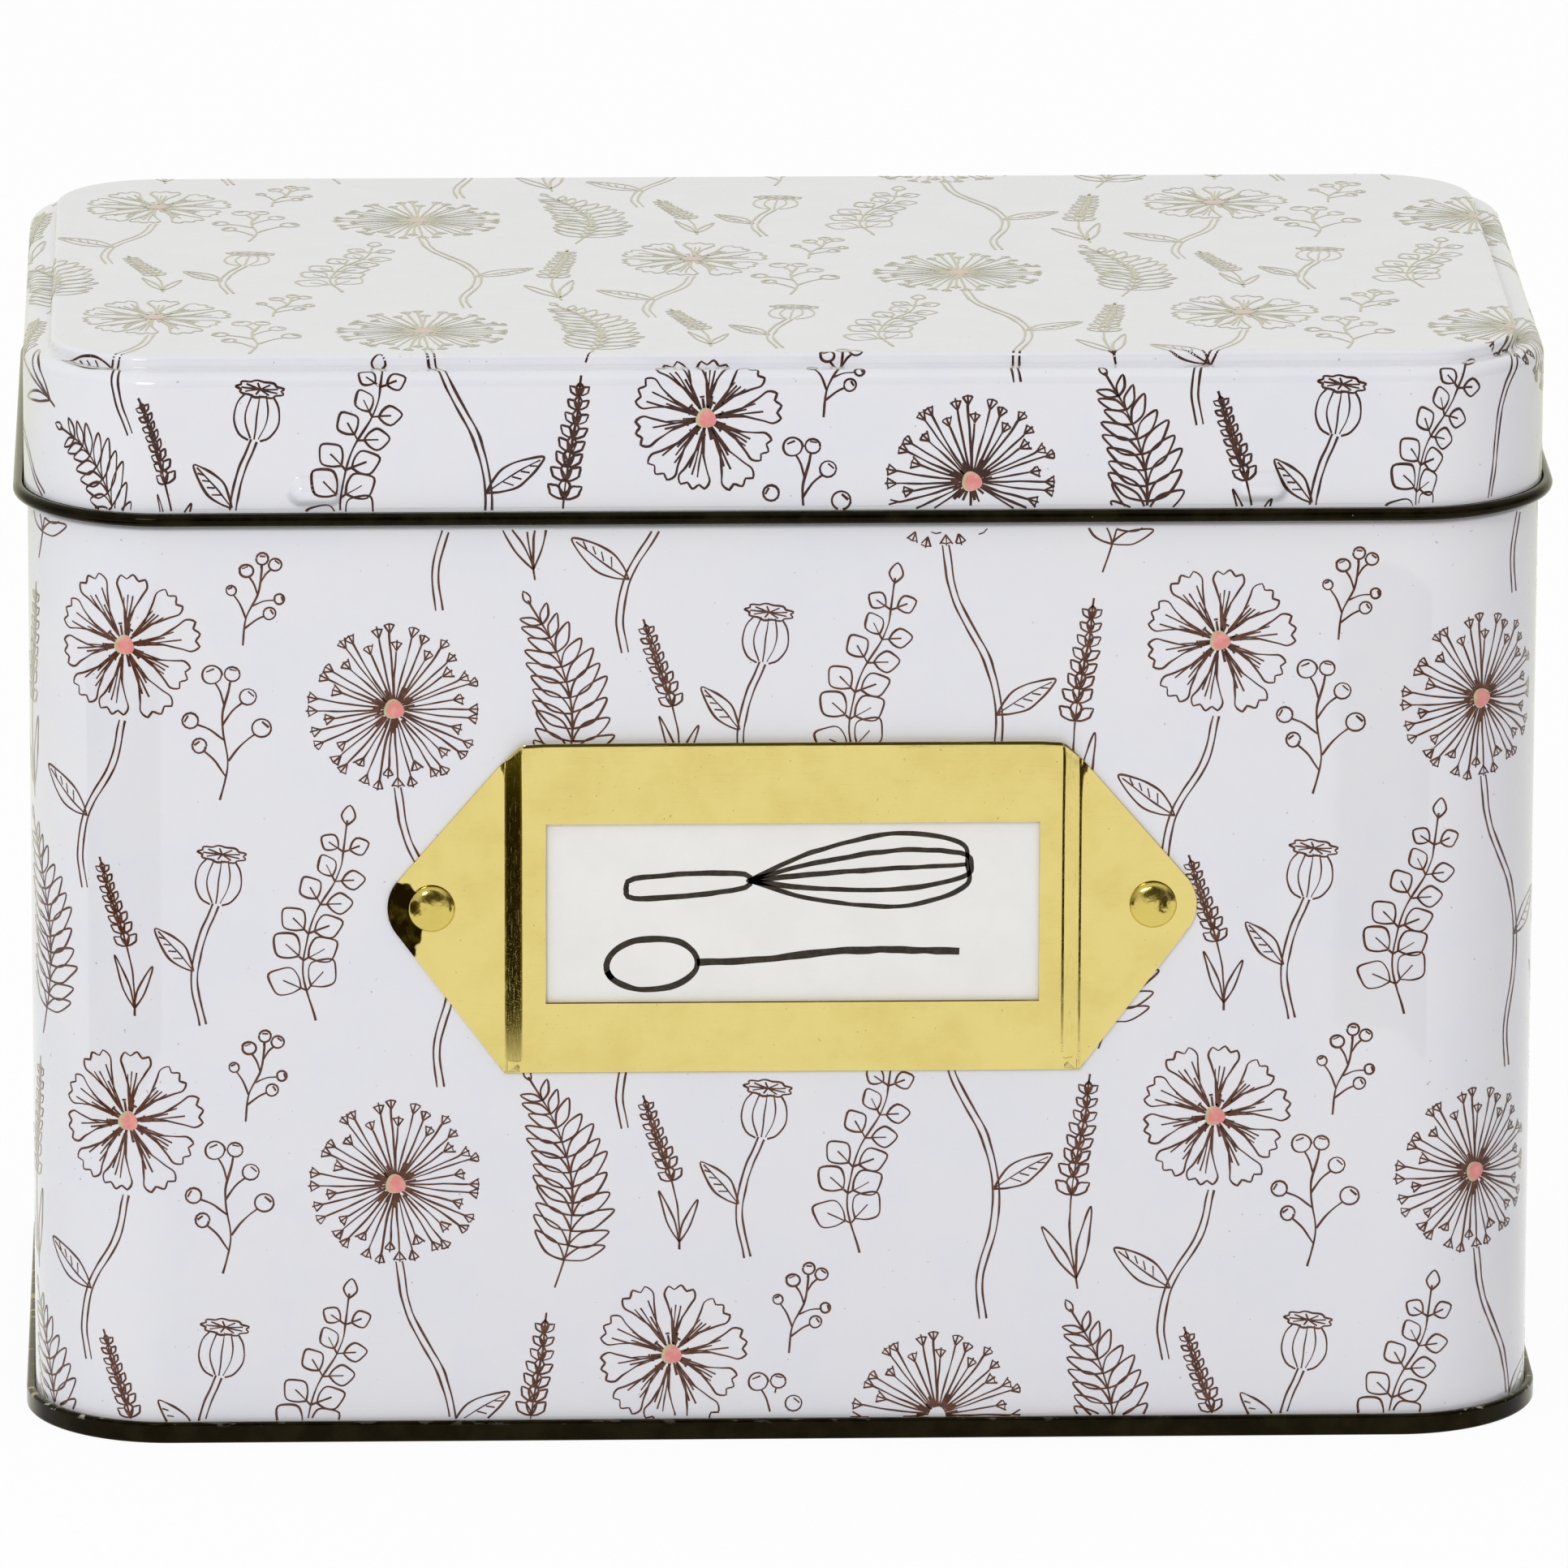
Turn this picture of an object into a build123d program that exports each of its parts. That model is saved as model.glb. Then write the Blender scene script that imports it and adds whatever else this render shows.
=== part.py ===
from build123d import *
import math
import os

# Recipe card box in printed tinplate: a drawn-corner body with a seamed base, a lid that turns on a
# wire hinge along its rear rim, and a brass label frame riveted to the front.
# Millimetres, +Z up. The origin is the middle of the base, on the surface that the box stands on.
# The front faces -Y and the hinge is at +Y.

# ---- Body -------------------------------------------------------------------------------------
BODY_WIDTH = 172.0        # outside, left to right
BODY_DEPTH = 96.0         # outside, front to back
CORNER_R = 15.6           # outside radius of the upright corners
SHEET = 0.28              # tinplate of the body, the base and the lid
SHOULDER_Z = 107.5        # where the wall starts to step in under the lid's rim
NECK_RISE = 1.5           # height of that step
NECK_SWING_GAP = 0.34     # the lid's front foot passes the neck's top by this much as it swings
NECK_CURL = 1.15          # centreline width and height of the curled top edge
NECK_CURL_END_GAP = 0.15  # the curl's end stops this far short of the neck
SIDE_SEAM_WIDTH = 5.0     # the folded lock seam down the middle of the rear wall
SEAM_GROOVE = 0.12        # depth and width of the line that the seam leaves outside

# ---- Base and its double seam -------------------------------------------------------------------
SEAM_HEIGHT = 2.57
SEAM_GAP = 0.1            # lacquer and sealing compound between the seam's layers
BASE_PANEL_Z = 3.2        # centreline of the base sheet inside its seam
BASE_STEP_INSET = 6.5     # the stiffening step round the base panel
BASE_STEP = 0.8
BASE_STEP_RUN = 0.8
CHUCK_GAP = 0.08          # between the base's upright wall and the body

# ---- Lid ----------------------------------------------------------------------------------------
RIM_RISE = 1.36           # from the shoulder up to the middle of the curled rim
LID_HEIGHT = 18.14        # from the middle of the rim to the raised top
LID_GAP = 0.12            # between the body's outer face and the inside of the lid's skirt
LID_EDGE = 0.94           # of the bevel where the skirt turns into the ledge
LEDGE_DROP = 1.45         # the ledge lies this far under the raised top
PANEL_INSET = 3.1         # from the skirt's outer face to the raised top's edge
PANEL_TIGHTENING = 1.2    # its corners are this much tighter than they would be in line with the skirt
PANEL_EDGE_BEVEL = 0.4    # of the raised top's edge
LID_SEAT_GAP = 0.12       # between the neck's curl and the ledge above it
CURL_R = 0.785            # outside, across the curl's corners
CURL_FLATS = 7            # the curl is rolled in this many flats
CURL_TURN_DEG = 288.0     # it stops just short of the skirt

# ---- Snap beads ---------------------------------------------------------------------------------
BEAD_X = 53.3             # left and right of the middle of the front
BEAD_RISE = 3.14          # above the middle of the rim
BEAD_LENGTH = 5.9
BEAD_HEIGHT = 2.9
BEAD_PROUD = 0.7          # of the lid's bumps
BEAD_BLUNT = 0.45         # width of the slope round a bump's tip
NECK_BEAD_SHRINK = 0.5    # the neck's beads are this much smaller all round than the lid's
NECK_BEAD_GAP = 0.15      # they stop this far short of the lid's skirt

# ---- Hinge --------------------------------------------------------------------------------------
WIRE_GAP = 0.033          # between the wire and the flats of the rear curl that it lies in
WIRE_END_GAP = 1.0        # it stops this far short of the corners
LUG_X = 45.0
LUG_WIDTH = 12.0
LUG_TAIL = 9.0            # from the wire's axis down the rear wall
LUG_SET = 2.0             # the tail leaves the wall this far below the axis
LUG_TURN_DEG = 300.0      # how far the strap goes round the wire
LUG_WIRE_GAP = 0.06       # running clearance on the wire
NOTCH_GAP = 0.4           # between a lug's sides and the notch in the rim
NOTCH_RISE = 0.35         # between a lug's loop and the notch's upper edge
LID_OPEN_DEG = 110.0
STOP_REACH = 1.45         # how far the lug's stop nose stands out from the axis
STOP_GAP = 0.06           # left between the nose and the notch's edge at the open limit

# ---- Label frame --------------------------------------------------------------------------------
FRAME_SHEET = 0.4
FRAME_X = 0.6             # the frame is riveted a little right of the middle
FRAME_BOTTOM_Z = 43.7     # all heights on the frame are measured from here
FRAME_HEIGHT = 39.0
RAISED_WIDTH = 61.4       # flat front of the raised middle
STEP_RUN = 2.1            # width of the slope each side of it
FRAME_STANDOFF = 1.35     # the raised middle's front stands this far off the wall
BOTTOM_BEVEL = 1.6        # height of the bevel that closes the pocket's foot
RAISED_CORNER_RUN = 2.3   # its top corners are cut back this far, in line with the wings' edges
RAISED_BEND_R = 0.5
WING_TOP_DROP = 2.6       # the wings start this far below the raised middle's top
WING_FOOT_RISE = 0.5
RIVET_RISE = 19.5
RIVET_SET = 8.2           # from the foot of the slope out to the rivet, and to the wing's round tip
WING_TIP_R = 5.0
WINDOW_SIDE = 2.7         # width of the plate left of the window, and right of it
WINDOW_FOOT = 8.6         # height of the plate below it
WINDOW_HEAD = 9.5         # and above it
WINDOW_R = 0.4

# ---- Rivets and label card ----------------------------------------------------------------------
RIVET_R = 1.6
RIVET_HEAD_R = 2.7
RIVET_HEAD_HEIGHT = 1.25
RIVET_RIM = 0.2           # upright edge of the head
RIVET_CROWN_R = 1.2       # flat crown of the head
RIVET_CROWN_SLOPE = 0.35  # depth of the crown's own slope
RIVET_BORE_R = 0.9        # the hollow shank, open inside the box
RIVET_CLINCH_R = 2.4
RIVET_CLINCH = 0.55
RIVET_HOLE_GAP = 0.05
CARD_THICK = 0.4
CARD_TOP_DROP = 1.0       # its top edge lies this far under the frame's
CARD_SIDE_GAP = 0.3       # each side, between the card and the pocket
CARD_FOOT_GAP = 0.15
CARD_R = 0.8

# ---- Derived places -----------------------------------------------------------------------------
HALF = SHEET / 2
FRONT_Y = -BODY_DEPTH / 2
REAR_Y = BODY_DEPTH / 2
CURL_Z = SHOULDER_Z + RIM_RISE
LID_TOP_Z = CURL_Z + LID_HEIGHT
LID_OUT = LID_GAP + SHEET                    # the skirt's outer face, out from the body's
CURL_OUT = LID_GAP + CURL_R                  # middle of the rim, out from the body's face
HINGE_Y = REAR_Y + CURL_OUT
CURL_TURN = math.radians(CURL_TURN_DEG) / CURL_FLATS
WIRE_R = (CURL_R - HALF) * math.cos(CURL_TURN / 2) - HALF - WIRE_GAP
LEDGE_Z = LID_TOP_Z - LEDGE_DROP
NECK_TOP_Z = LEDGE_Z - SHEET - LID_SEAT_GAP
SWING = BODY_DEPTH + CURL_OUT + LID_GAP      # from the hinge to the inside of the skirt's front
SWING_LOSS = SWING - math.sqrt(SWING ** 2 - (NECK_TOP_Z - CURL_Z) ** 2)
NECK_INSET = SWING_LOSS - LID_GAP + NECK_SWING_GAP           # the neck stands back from the wall
SKIRT_FOOT_Z = CURL_Z + 2 * CURL_R           # the skirt runs plain above this and curls below it
NOTCH_TOP_Z = CURL_Z + CURL_R + NOTCH_RISE
PANEL_R = CORNER_R + LID_OUT - PANEL_INSET - PANEL_TIGHTENING
BEAD_Z = CURL_Z + BEAD_RISE
RIVET_X = RAISED_WIDTH / 2 + STEP_RUN + RIVET_SET            # from the frame's middle
RIVET_Z = FRAME_BOTTOM_Z + RIVET_RISE
OCTAGON = 1 - math.sqrt(0.5)                 # cuts a square's corners to near an octagon's
CARD_FRONT = (FRAME_STANDOFF - FRAME_SHEET + CARD_THICK) / 2    # the card stands mid-pocket


# ---- Shared shapes ------------------------------------------------------------------------------
def outline(out, radius=None):
    """The box's rounded outline, moved outward from the body's outer face."""
    return RectangleRounded(BODY_WIDTH + 2 * out, BODY_DEPTH + 2 * out, radius or CORNER_R + out)


def bevelled(points, size):
    """The same run of points with each inner corner cut back by this much both ways."""
    cut = [points[0]]
    for before, corner, after in zip(points, points[1:], points[2:]):
        for other in (before, after):
            away = Vector(*other) - Vector(*corner)
            cut.append(tuple(Vector(*corner) + away.normalized() * size)[:2])
    return cut + [points[-1]]


def bent_sheet(points):
    """Section of a bent sheet, from its centreline as (out, height) points."""
    return trace(Polyline(*points), line_width=SHEET)


def carried_round(section):
    """Carries a section, drawn as (out from the body's face, height), along the sides and corners."""
    corner_x, corner_y = BODY_WIDTH / 2 - CORNER_R, BODY_DEPTH / 2 - CORNER_R
    stretches = []
    for quarter in range(4):
        ahead, flat = (corner_y, corner_x) if quarter % 2 else (corner_x, corner_y)
        at_middle = Plane(origin=(ahead + CORNER_R, 0, 0), x_dir=(1, 0, 0), z_dir=(0, -1, 0))
        at_corner = Plane(origin=(ahead + CORNER_R, flat, 0), x_dir=(1, 0, 0), z_dir=(0, -1, 0))
        side = extrude(at_middle * section, flat, both=True)
        corner = revolve(at_corner * section, Axis((ahead, flat, 0), (0, 0, 1)), 90)
        stretches += [Rot(0, 0, 90 * quarter) * side, Rot(0, 0, 90 * quarter) * corner]
    return stretches[0].fuse(*stretches[1:])


def flat_sheet(out, middle_z):
    """A flat sheet that fills the outline, its middle at this height."""
    return Pos(0, 0, middle_z - HALF) * extrude(outline(out), SHEET)


def block(x, width, y0, y1, z0, z1):
    """A box centred on x, between two depths and two heights."""
    return Pos(x, (y0 + y1) / 2, (z0 + z1) / 2) * Box(width, y1 - y0, z1 - z0)


def facing_front(x, y, z):
    """A plane whose sketches are drawn as seen from the front."""
    return Plane(origin=(x, y, z), x_dir=(1, 0, 0), z_dir=(0, -1, 0))


def front_bump(x, z, back_y, tip_y, inset):
    """A blunt bump that stands out toward the front, smaller all round than the lid's by inset."""
    height = BEAD_HEIGHT - 2 * inset
    pill = chamfer(Rectangle(BEAD_LENGTH - 2 * inset, height).vertices(), height * OCTAGON)
    bump = extrude(facing_front(x, back_y, z) * pill, back_y - tip_y)
    return chamfer(bump.faces().sort_by(Axis.Y)[0].edges(), BEAD_BLUNT)


def pressed_bumps(shell, face_y, proud, inset=0.0):
    """Presses the pair of snap bumps into a front sheet whose outer face is at this y."""
    tip_y = face_y - proud
    for x in (-BEAD_X, BEAD_X):
        shell += front_bump(x, BEAD_Z, face_y + HALF, tip_y, inset)
        shell -= front_bump(x, BEAD_Z, face_y + 2 * SHEET, tip_y + SHEET, inset + SHEET)
    return shell


# ---- Body ---------------------------------------------------------------------------------------
def wall_section():
    """The wall from its hook in the base seam, up past the shoulder, to the neck's curled top."""
    hook_out = 2 * SEAM_GAP + SHEET + HALF
    fold_z = SHEET + SEAM_GAP + HALF
    neck_out = -HALF - NECK_INSET
    neck_z = SHOULDER_Z + NECK_RISE
    curl_top = NECK_TOP_Z - HALF
    curl_foot = curl_top - NECK_CURL
    curl_in = neck_out - NECK_CURL
    curl_end = neck_out - HALF - NECK_CURL_END_GAP
    wall = [(hook_out, SEAM_HEIGHT - SHEET - 2 * SEAM_GAP), (hook_out, fold_z), (-HALF, fold_z),
            (-HALF, SHOULDER_Z), (neck_out, neck_z)]
    curl = [(neck_out, curl_top), (curl_in, curl_top), (curl_in, curl_foot), (curl_end, curl_foot)]
    return bent_sheet(wall + bevelled([(neck_out, neck_z), *curl], NECK_CURL * OCTAGON)[1:])


def body_wall():
    wall = carried_round(wall_section())
    # The lock seam's folded layers stand inside the rear wall and leave a fine line outside.
    seam_foot, seam_top = BASE_PANEL_Z + 2 * SHEET, SHOULDER_Z - SHEET
    wall += block(0, SIDE_SEAM_WIDTH, REAR_Y - 3 * SHEET, REAR_Y - HALF, seam_foot, seam_top)
    wall -= block(SIDE_SEAM_WIDTH / 2, SEAM_GROOVE, REAR_Y - SEAM_GROOVE, REAR_Y + SHEET,
                  SEAM_HEIGHT + SHEET, seam_top)
    neck_y = FRONT_Y + NECK_INSET
    wall = pressed_bumps(wall, neck_y, NECK_INSET + LID_GAP - NECK_BEAD_GAP, NECK_BEAD_SHRINK)
    rivet_hole = Cylinder(RIVET_R + RIVET_HOLE_GAP, 4 * SHEET, rotation=(90, 0, 0))
    for side in (-1, 1):
        wall -= Pos(FRAME_X + side * RIVET_X, FRONT_Y, RIVET_Z) * rivet_hole
    return wall


def bottom_panel():
    """The base sheet: a stiffened panel, its upright chuck wall, and the seam folded over the hook."""
    chuck_out = -SHEET - CHUCK_GAP - HALF
    seam_out = 3 * SEAM_GAP + 2 * SHEET + HALF
    hook_out = SEAM_GAP + HALF
    hook_end = 2 * (SHEET + SEAM_GAP) + HALF
    fold_top = SEAM_HEIGHT - HALF
    step_top = BASE_PANEL_Z + BASE_STEP
    step_out = -BASE_STEP_INSET - BASE_STEP_RUN
    panel = [(step_out - BASE_STEP, step_top), (step_out, step_top), (-BASE_STEP_INSET, BASE_PANEL_Z)]
    seam = [(chuck_out, BASE_PANEL_Z), (chuck_out, HALF), (seam_out, HALF), (seam_out, fold_top),
            (hook_out, fold_top), (hook_out, hook_end)]
    return carried_round(bent_sheet(panel + seam)) + flat_sheet(step_out - BASE_STEP / 2, step_top)


# ---- Lid ----------------------------------------------------------------------------------------
def curl_section():
    """The skirt's foot and the rim curled outward from it."""
    middle_r = CURL_R - HALF
    angles = [math.pi + CURL_TURN * step for step in range(CURL_FLATS + 1)]
    rolled = [(CURL_OUT + middle_r * math.cos(a), CURL_Z + middle_r * math.sin(a)) for a in angles]
    return bent_sheet([(LID_GAP + HALF, SKIRT_FOOT_Z), *rolled])


def upright_form(out, radius, foot_z, top_z):
    """A solid that fills the outline between two heights."""
    return Pos(0, 0, foot_z) * extrude(outline(out, radius), top_z - foot_z)


def top_edges(form):
    return form.faces().sort_by(Axis.Z)[-1].edges()


def lid_shell():
    panel_out = LID_OUT - PANEL_INSET
    skirt = upright_form(LID_OUT, None, SKIRT_FOOT_Z, LEDGE_Z)
    raised = upright_form(panel_out, PANEL_R, LEDGE_Z - SHEET, LID_TOP_Z)
    lid = chamfer(top_edges(skirt), LID_EDGE) + chamfer(top_edges(raised), PANEL_EDGE_BEVEL)
    inside = upright_form(LID_GAP, None, SKIRT_FOOT_Z, LEDGE_Z - SHEET)
    lid -= chamfer(top_edges(inside), LID_EDGE - 2 * SHEET * OCTAGON)
    lid -= upright_form(panel_out - SHEET, PANEL_R - SHEET, SKIRT_FOOT_Z, LID_TOP_Z - SHEET)
    lid += carried_round(curl_section())
    lid = pressed_bumps(lid, FRONT_Y - LID_OUT, BEAD_PROUD)
    for x in (-LUG_X, LUG_X):
        lid -= block(x, LUG_WIDTH + 2 * NOTCH_GAP, REAR_Y, HINGE_Y + 2 * CURL_R,
                     CURL_Z - 2 * CURL_R, NOTCH_TOP_Z)
    return lid


# ---- Hinge --------------------------------------------------------------------------------------
def hinge_wire():
    """A straight wire in the rear curl, bare in the two notches where the lugs wrap it."""
    length = BODY_WIDTH - 2 * CORNER_R - 2 * WIRE_END_GAP
    return Pos(0, HINGE_Y, CURL_Z) * Cylinder(WIRE_R, length, rotation=(0, 90, 0))


def hinge_lug():
    """A strap welded to the rear wall, wrapped round the rim's wire and pinched into a stop nose.

    At the open limit the notch's upper edge, on the skirt, closes on the top of the nose.
    """
    loop_r = WIRE_R + LUG_WIRE_GAP + HALF
    tail = Polyline((REAR_Y + HALF, CURL_Z - LUG_TAIL), (REAR_Y + HALF, CURL_Z - LUG_SET),
                    (HINGE_Y - loop_r, CURL_Z))
    loop = CenterArc((HINGE_Y, CURL_Z), loop_r, 180, -LUG_TURN_DEG)
    skirt_back = CURL_OUT - LID_OUT
    opened = math.radians(LID_OPEN_DEG)
    nose_top = (skirt_back + STOP_REACH * math.cos(opened)) / math.sin(opened) - STOP_GAP
    nose = Pos((loop_r + STOP_REACH) / 2 + HINGE_Y, CURL_Z + nose_top - SHEET) * Rectangle(
        STOP_REACH - loop_r, 2 * SHEET)
    strap = trace(tail + loop, line_width=SHEET) + nose
    return extrude(Plane.YZ * strap, LUG_WIDTH / 2, both=True)


# ---- Label frame, its rivets and its card -------------------------------------------------------
def sheet_shift(run):
    """How far a slope's back face lies in from its front one, along the wall."""
    return FRAME_SHEET * math.hypot(FRAME_STANDOFF, run) / FRAME_STANDOFF


def pocket_half_width(standoff):
    foot = RAISED_WIDTH / 2 + STEP_RUN - sheet_shift(STEP_RUN)
    return foot - standoff * STEP_RUN / FRAME_STANDOFF


def pocket_floor(standoff):
    foot = FRAME_BOTTOM_Z + sheet_shift(BOTTOM_BEVEL)
    return foot + standoff * BOTTOM_BEVEL / FRAME_STANDOFF


def raised_middle():
    """The raised middle's outside: sloped at the sides, bevelled at the foot, open at the top."""
    half, foot_half = RAISED_WIDTH / 2, RAISED_WIDTH / 2 + STEP_RUN
    plan = Polygon((-foot_half, 0), (-half, -FRAME_STANDOFF), (half, -FRAME_STANDOFF), (foot_half, 0),
                   align=None)
    side = Polygon((0, FRAME_BOTTOM_Z), (-FRAME_STANDOFF, FRAME_BOTTOM_Z + BOTTOM_BEVEL),
                   (-FRAME_STANDOFF, FRAME_BOTTOM_Z + FRAME_HEIGHT), (0, FRAME_BOTTOM_Z + FRAME_HEIGHT),
                   align=None)
    form = Pos(0, 0, FRAME_BOTTOM_Z) * extrude(plan, FRAME_HEIGHT)
    form &= extrude(Plane.YZ * side, foot_half, both=True)
    bends = form.faces().sort_by(Axis.Y)[0].edges().sort_by(Axis.Z)[:-1]
    return fillet(bends, RAISED_BEND_R)


def pocket():
    """The space that the sheet leaves behind the raised middle, open at the top."""
    depth, top = FRAME_STANDOFF - FRAME_SHEET, FRAME_BOTTOM_Z + FRAME_HEIGHT + FRAME_SHEET
    plan = Polygon((-pocket_half_width(0), 0), (-pocket_half_width(depth), -depth),
                   (pocket_half_width(depth), -depth), (pocket_half_width(0), 0), align=None)
    side = Polygon((0, pocket_floor(0)), (-depth, pocket_floor(depth)), (-depth, top), (0, top),
                   align=None)
    form = Pos(0, 0, FRAME_BOTTOM_Z) * extrude(plan, top - FRAME_BOTTOM_Z)
    return form & extrude(Plane.YZ * side, pocket_half_width(0), both=True)


def frame_outline():
    """The frame as seen from the front: a raised middle with a pointed wing each side."""
    half = RAISED_WIDTH / 2 + STEP_RUN
    top = FRAME_BOTTOM_Z + FRAME_HEIGHT
    wing_foot, wing_top = FRAME_BOTTOM_Z + WING_FOOT_RISE, top - WING_TOP_DROP
    middle = Pos(0, (wing_foot + wing_top) / 2) * Rectangle(2 * half, wing_top - wing_foot)
    tips = [Pos(side * RIVET_X, RIVET_Z) * Circle(WING_TIP_R) for side in (-1, 1)]
    wings = make_hull((middle + tips).edges())
    corner = half - RAISED_CORNER_RUN
    foot_corner = half - WING_FOOT_RISE
    raised = Polygon((-foot_corner, FRAME_BOTTOM_Z), (foot_corner, FRAME_BOTTOM_Z), (half, wing_foot),
                     (half, wing_top), (corner, top), (-corner, top), (-half, wing_top),
                     (-half, wing_foot), align=None)
    return wings + raised


def label_frame():
    seen = Plane.XZ * frame_outline()
    frame = extrude(seen, FRAME_SHEET) + (raised_middle() & extrude(seen, FRAME_STANDOFF))
    frame -= pocket()
    window_height = FRAME_HEIGHT - WINDOW_FOOT - WINDOW_HEAD
    openings = Pos(0, FRAME_BOTTOM_Z + WINDOW_FOOT + window_height / 2) * RectangleRounded(
        RAISED_WIDTH - 2 * WINDOW_SIDE, window_height, WINDOW_R)
    for side in (-1, 1):
        openings += Pos(side * RIVET_X, RIVET_Z) * Circle(RIVET_R + RIVET_HOLE_GAP)
    frame -= extrude(Plane.XZ * openings, 2 * FRAME_STANDOFF, both=True)
    return Pos(FRAME_X, FRONT_Y, 0) * frame


def label_rivet():
    """A tubular rivet: blunt domed head, hollow shank through both sheets, clinched inside."""
    grip = FRAME_SHEET + SHEET
    shoulder_r = (RIVET_CROWN_R + RIVET_HEAD_R) / 2
    half_section = Polyline(
        (0, -RIVET_HEAD_HEIGHT), (RIVET_CROWN_R, -RIVET_HEAD_HEIGHT),
        (shoulder_r, RIVET_CROWN_SLOPE - RIVET_HEAD_HEIGHT), (RIVET_HEAD_R, -RIVET_RIM),
        (RIVET_HEAD_R, 0), (RIVET_R, 0), (RIVET_R, grip), (RIVET_CLINCH_R, grip),
        (RIVET_R, grip + RIVET_CLINCH), (RIVET_BORE_R, grip + RIVET_CLINCH / 2),
        (RIVET_BORE_R, 0), (0, 0), close=True)
    return revolve(make_face(half_section), Axis.Y)


def label_card():
    """A plain card, which slides up out of the frame's pocket."""
    width = 2 * (pocket_half_width(CARD_FRONT) - CARD_SIDE_GAP)
    foot = pocket_floor(CARD_FRONT) + CARD_FOOT_GAP
    height = FRAME_BOTTOM_Z + FRAME_HEIGHT - CARD_TOP_DROP - foot
    shape = Pos(0, foot + height / 2) * RectangleRounded(width, height, CARD_R)
    return Pos(FRAME_X, FRONT_Y - CARD_FRONT + CARD_THICK, 0) * extrude(Plane.XZ * shape, CARD_THICK)


def build():
    """Every piece by its node's name."""
    nodes = {
        "body_wall": body_wall(),
        "bottom_panel": bottom_panel(),
        "lid_shell": lid_shell(),
        "hinge_wire": hinge_wire(),
        "label_frame": label_frame(),
        "label_card": label_card(),
    }
    for name, side in (("left", -1), ("right", 1)):
        nodes[f"hinge_lug_{name}"] = Pos(side * LUG_X, 0, 0) * hinge_lug()
        nodes[f"label_rivet_{name}"] = Pos(
            FRAME_X + side * RIVET_X, FRONT_Y - FRAME_SHEET, RIVET_Z) * label_rivet()
    return nodes


os.makedirs("parts", exist_ok=True)
for node, shape in build().items():
    export_step(shape, f"parts/{node}.step")
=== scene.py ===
import math
import random
import bmesh
import bpy
import numpy as np
from mathutils import Matrix, Vector


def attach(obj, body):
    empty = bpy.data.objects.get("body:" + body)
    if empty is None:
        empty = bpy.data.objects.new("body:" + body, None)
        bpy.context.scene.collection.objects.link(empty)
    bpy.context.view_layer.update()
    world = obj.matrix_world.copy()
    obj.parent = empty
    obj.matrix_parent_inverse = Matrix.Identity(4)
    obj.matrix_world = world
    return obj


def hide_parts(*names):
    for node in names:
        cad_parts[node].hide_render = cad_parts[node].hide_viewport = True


# The looks of the recipe card box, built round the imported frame. Sizes are in millimetres and are
# turned into metres when a mesh is made. +Z is up, the front faces -Y and the hinge is at +Y.

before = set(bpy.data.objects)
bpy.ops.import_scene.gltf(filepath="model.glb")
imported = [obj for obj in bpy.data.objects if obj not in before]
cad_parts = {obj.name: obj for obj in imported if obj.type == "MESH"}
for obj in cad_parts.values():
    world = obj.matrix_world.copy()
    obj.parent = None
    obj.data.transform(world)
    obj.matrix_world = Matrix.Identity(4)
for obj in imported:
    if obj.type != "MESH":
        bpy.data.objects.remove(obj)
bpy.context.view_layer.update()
MM = 0.001

# ---- Camera ----
CAMERA_YAW = 1.953        # degrees to the left of straight ahead
CAMERA_PITCH = 14.987     # degrees down
CAMERA_ROLL = 0.18
CAMERA_TARGET = (1.24, 0.0, 64.64)
CAMERA_DISTANCE = 1847.2
PICTURE_WIDTH = 1932      # pixels
FOCAL_PIXELS = 19533.0

# ---- Tin ----
WIDTH = 172.0
DEPTH = 96.0
CORNER_R = 15.6
SHEET = 0.28
SHOULDER_Z = 107.5
NECK_TOP_Z = 125.15
NECK_OUT = -1.737         # middle of the neck's sheet, out from the wall's outer face
NECK_FOOT_Z = 109.0
NECK_CURL_R = 0.575
HOOK_OUT = 0.62           # the wall's hook in the seam, its lower bend and its edge
HOOK_FOOT_Z = 0.52
HOOK_EDGE_Z = 2.09
BASE_HOOK_OUT = 0.24      # the base's hook, between the wall and the wall's hook
BASE_HOOK_EDGE_Z = 0.9
SEAM_HEIGHT = 2.44
SEAM_OUT = 0.93           # middle of the seam's outer layer
CHUCK_OUT = -0.5          # middle of the base's upright wall
BASE_Z = 3.2
BASE_STEP = 0.8
BASE_STEP_INSET = 6.5
LID_OUT = 0.4
LID_TOP_Z = 127.0
LEDGE_Z = 125.55
PANEL_INSET = 3.1
PANEL_R = 11.7
PANEL_EDGE_R = 0.65
LEDGE_FILLET_R = 0.3
LID_EDGE_R = 1.6
SKIRT_FOOT_Z = 109.995    # the skirt's plain foot, and the upper edge of the notches for the lugs
CURL_OUT = 0.905          # middle of the curled rim
CURL_Z = 108.86
CURL_R = 0.61             # to the middle of the sheet
CURL_TURN = math.radians(292)
PRINT_FOOT_Z = CURL_Z + 0.70
LUG_X = 45.0
NOTCH_HALF = 6.4
BUMP_X = 53.3
BUMP_Z = 112.0
BUMP_LENGTH = 6.7
BUMP_HEIGHT = 3.6
BUMP_PROUD = 1.05
NECK_BEAD_PROUD = 1.4
SIDE_SEAM_X = 2.5         # the lock seam's line on the rear, seen from outside
SIDE_SEAM_WIDTH = 5.0
SIDE_SEAM_GROOVE = 0.13

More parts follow.
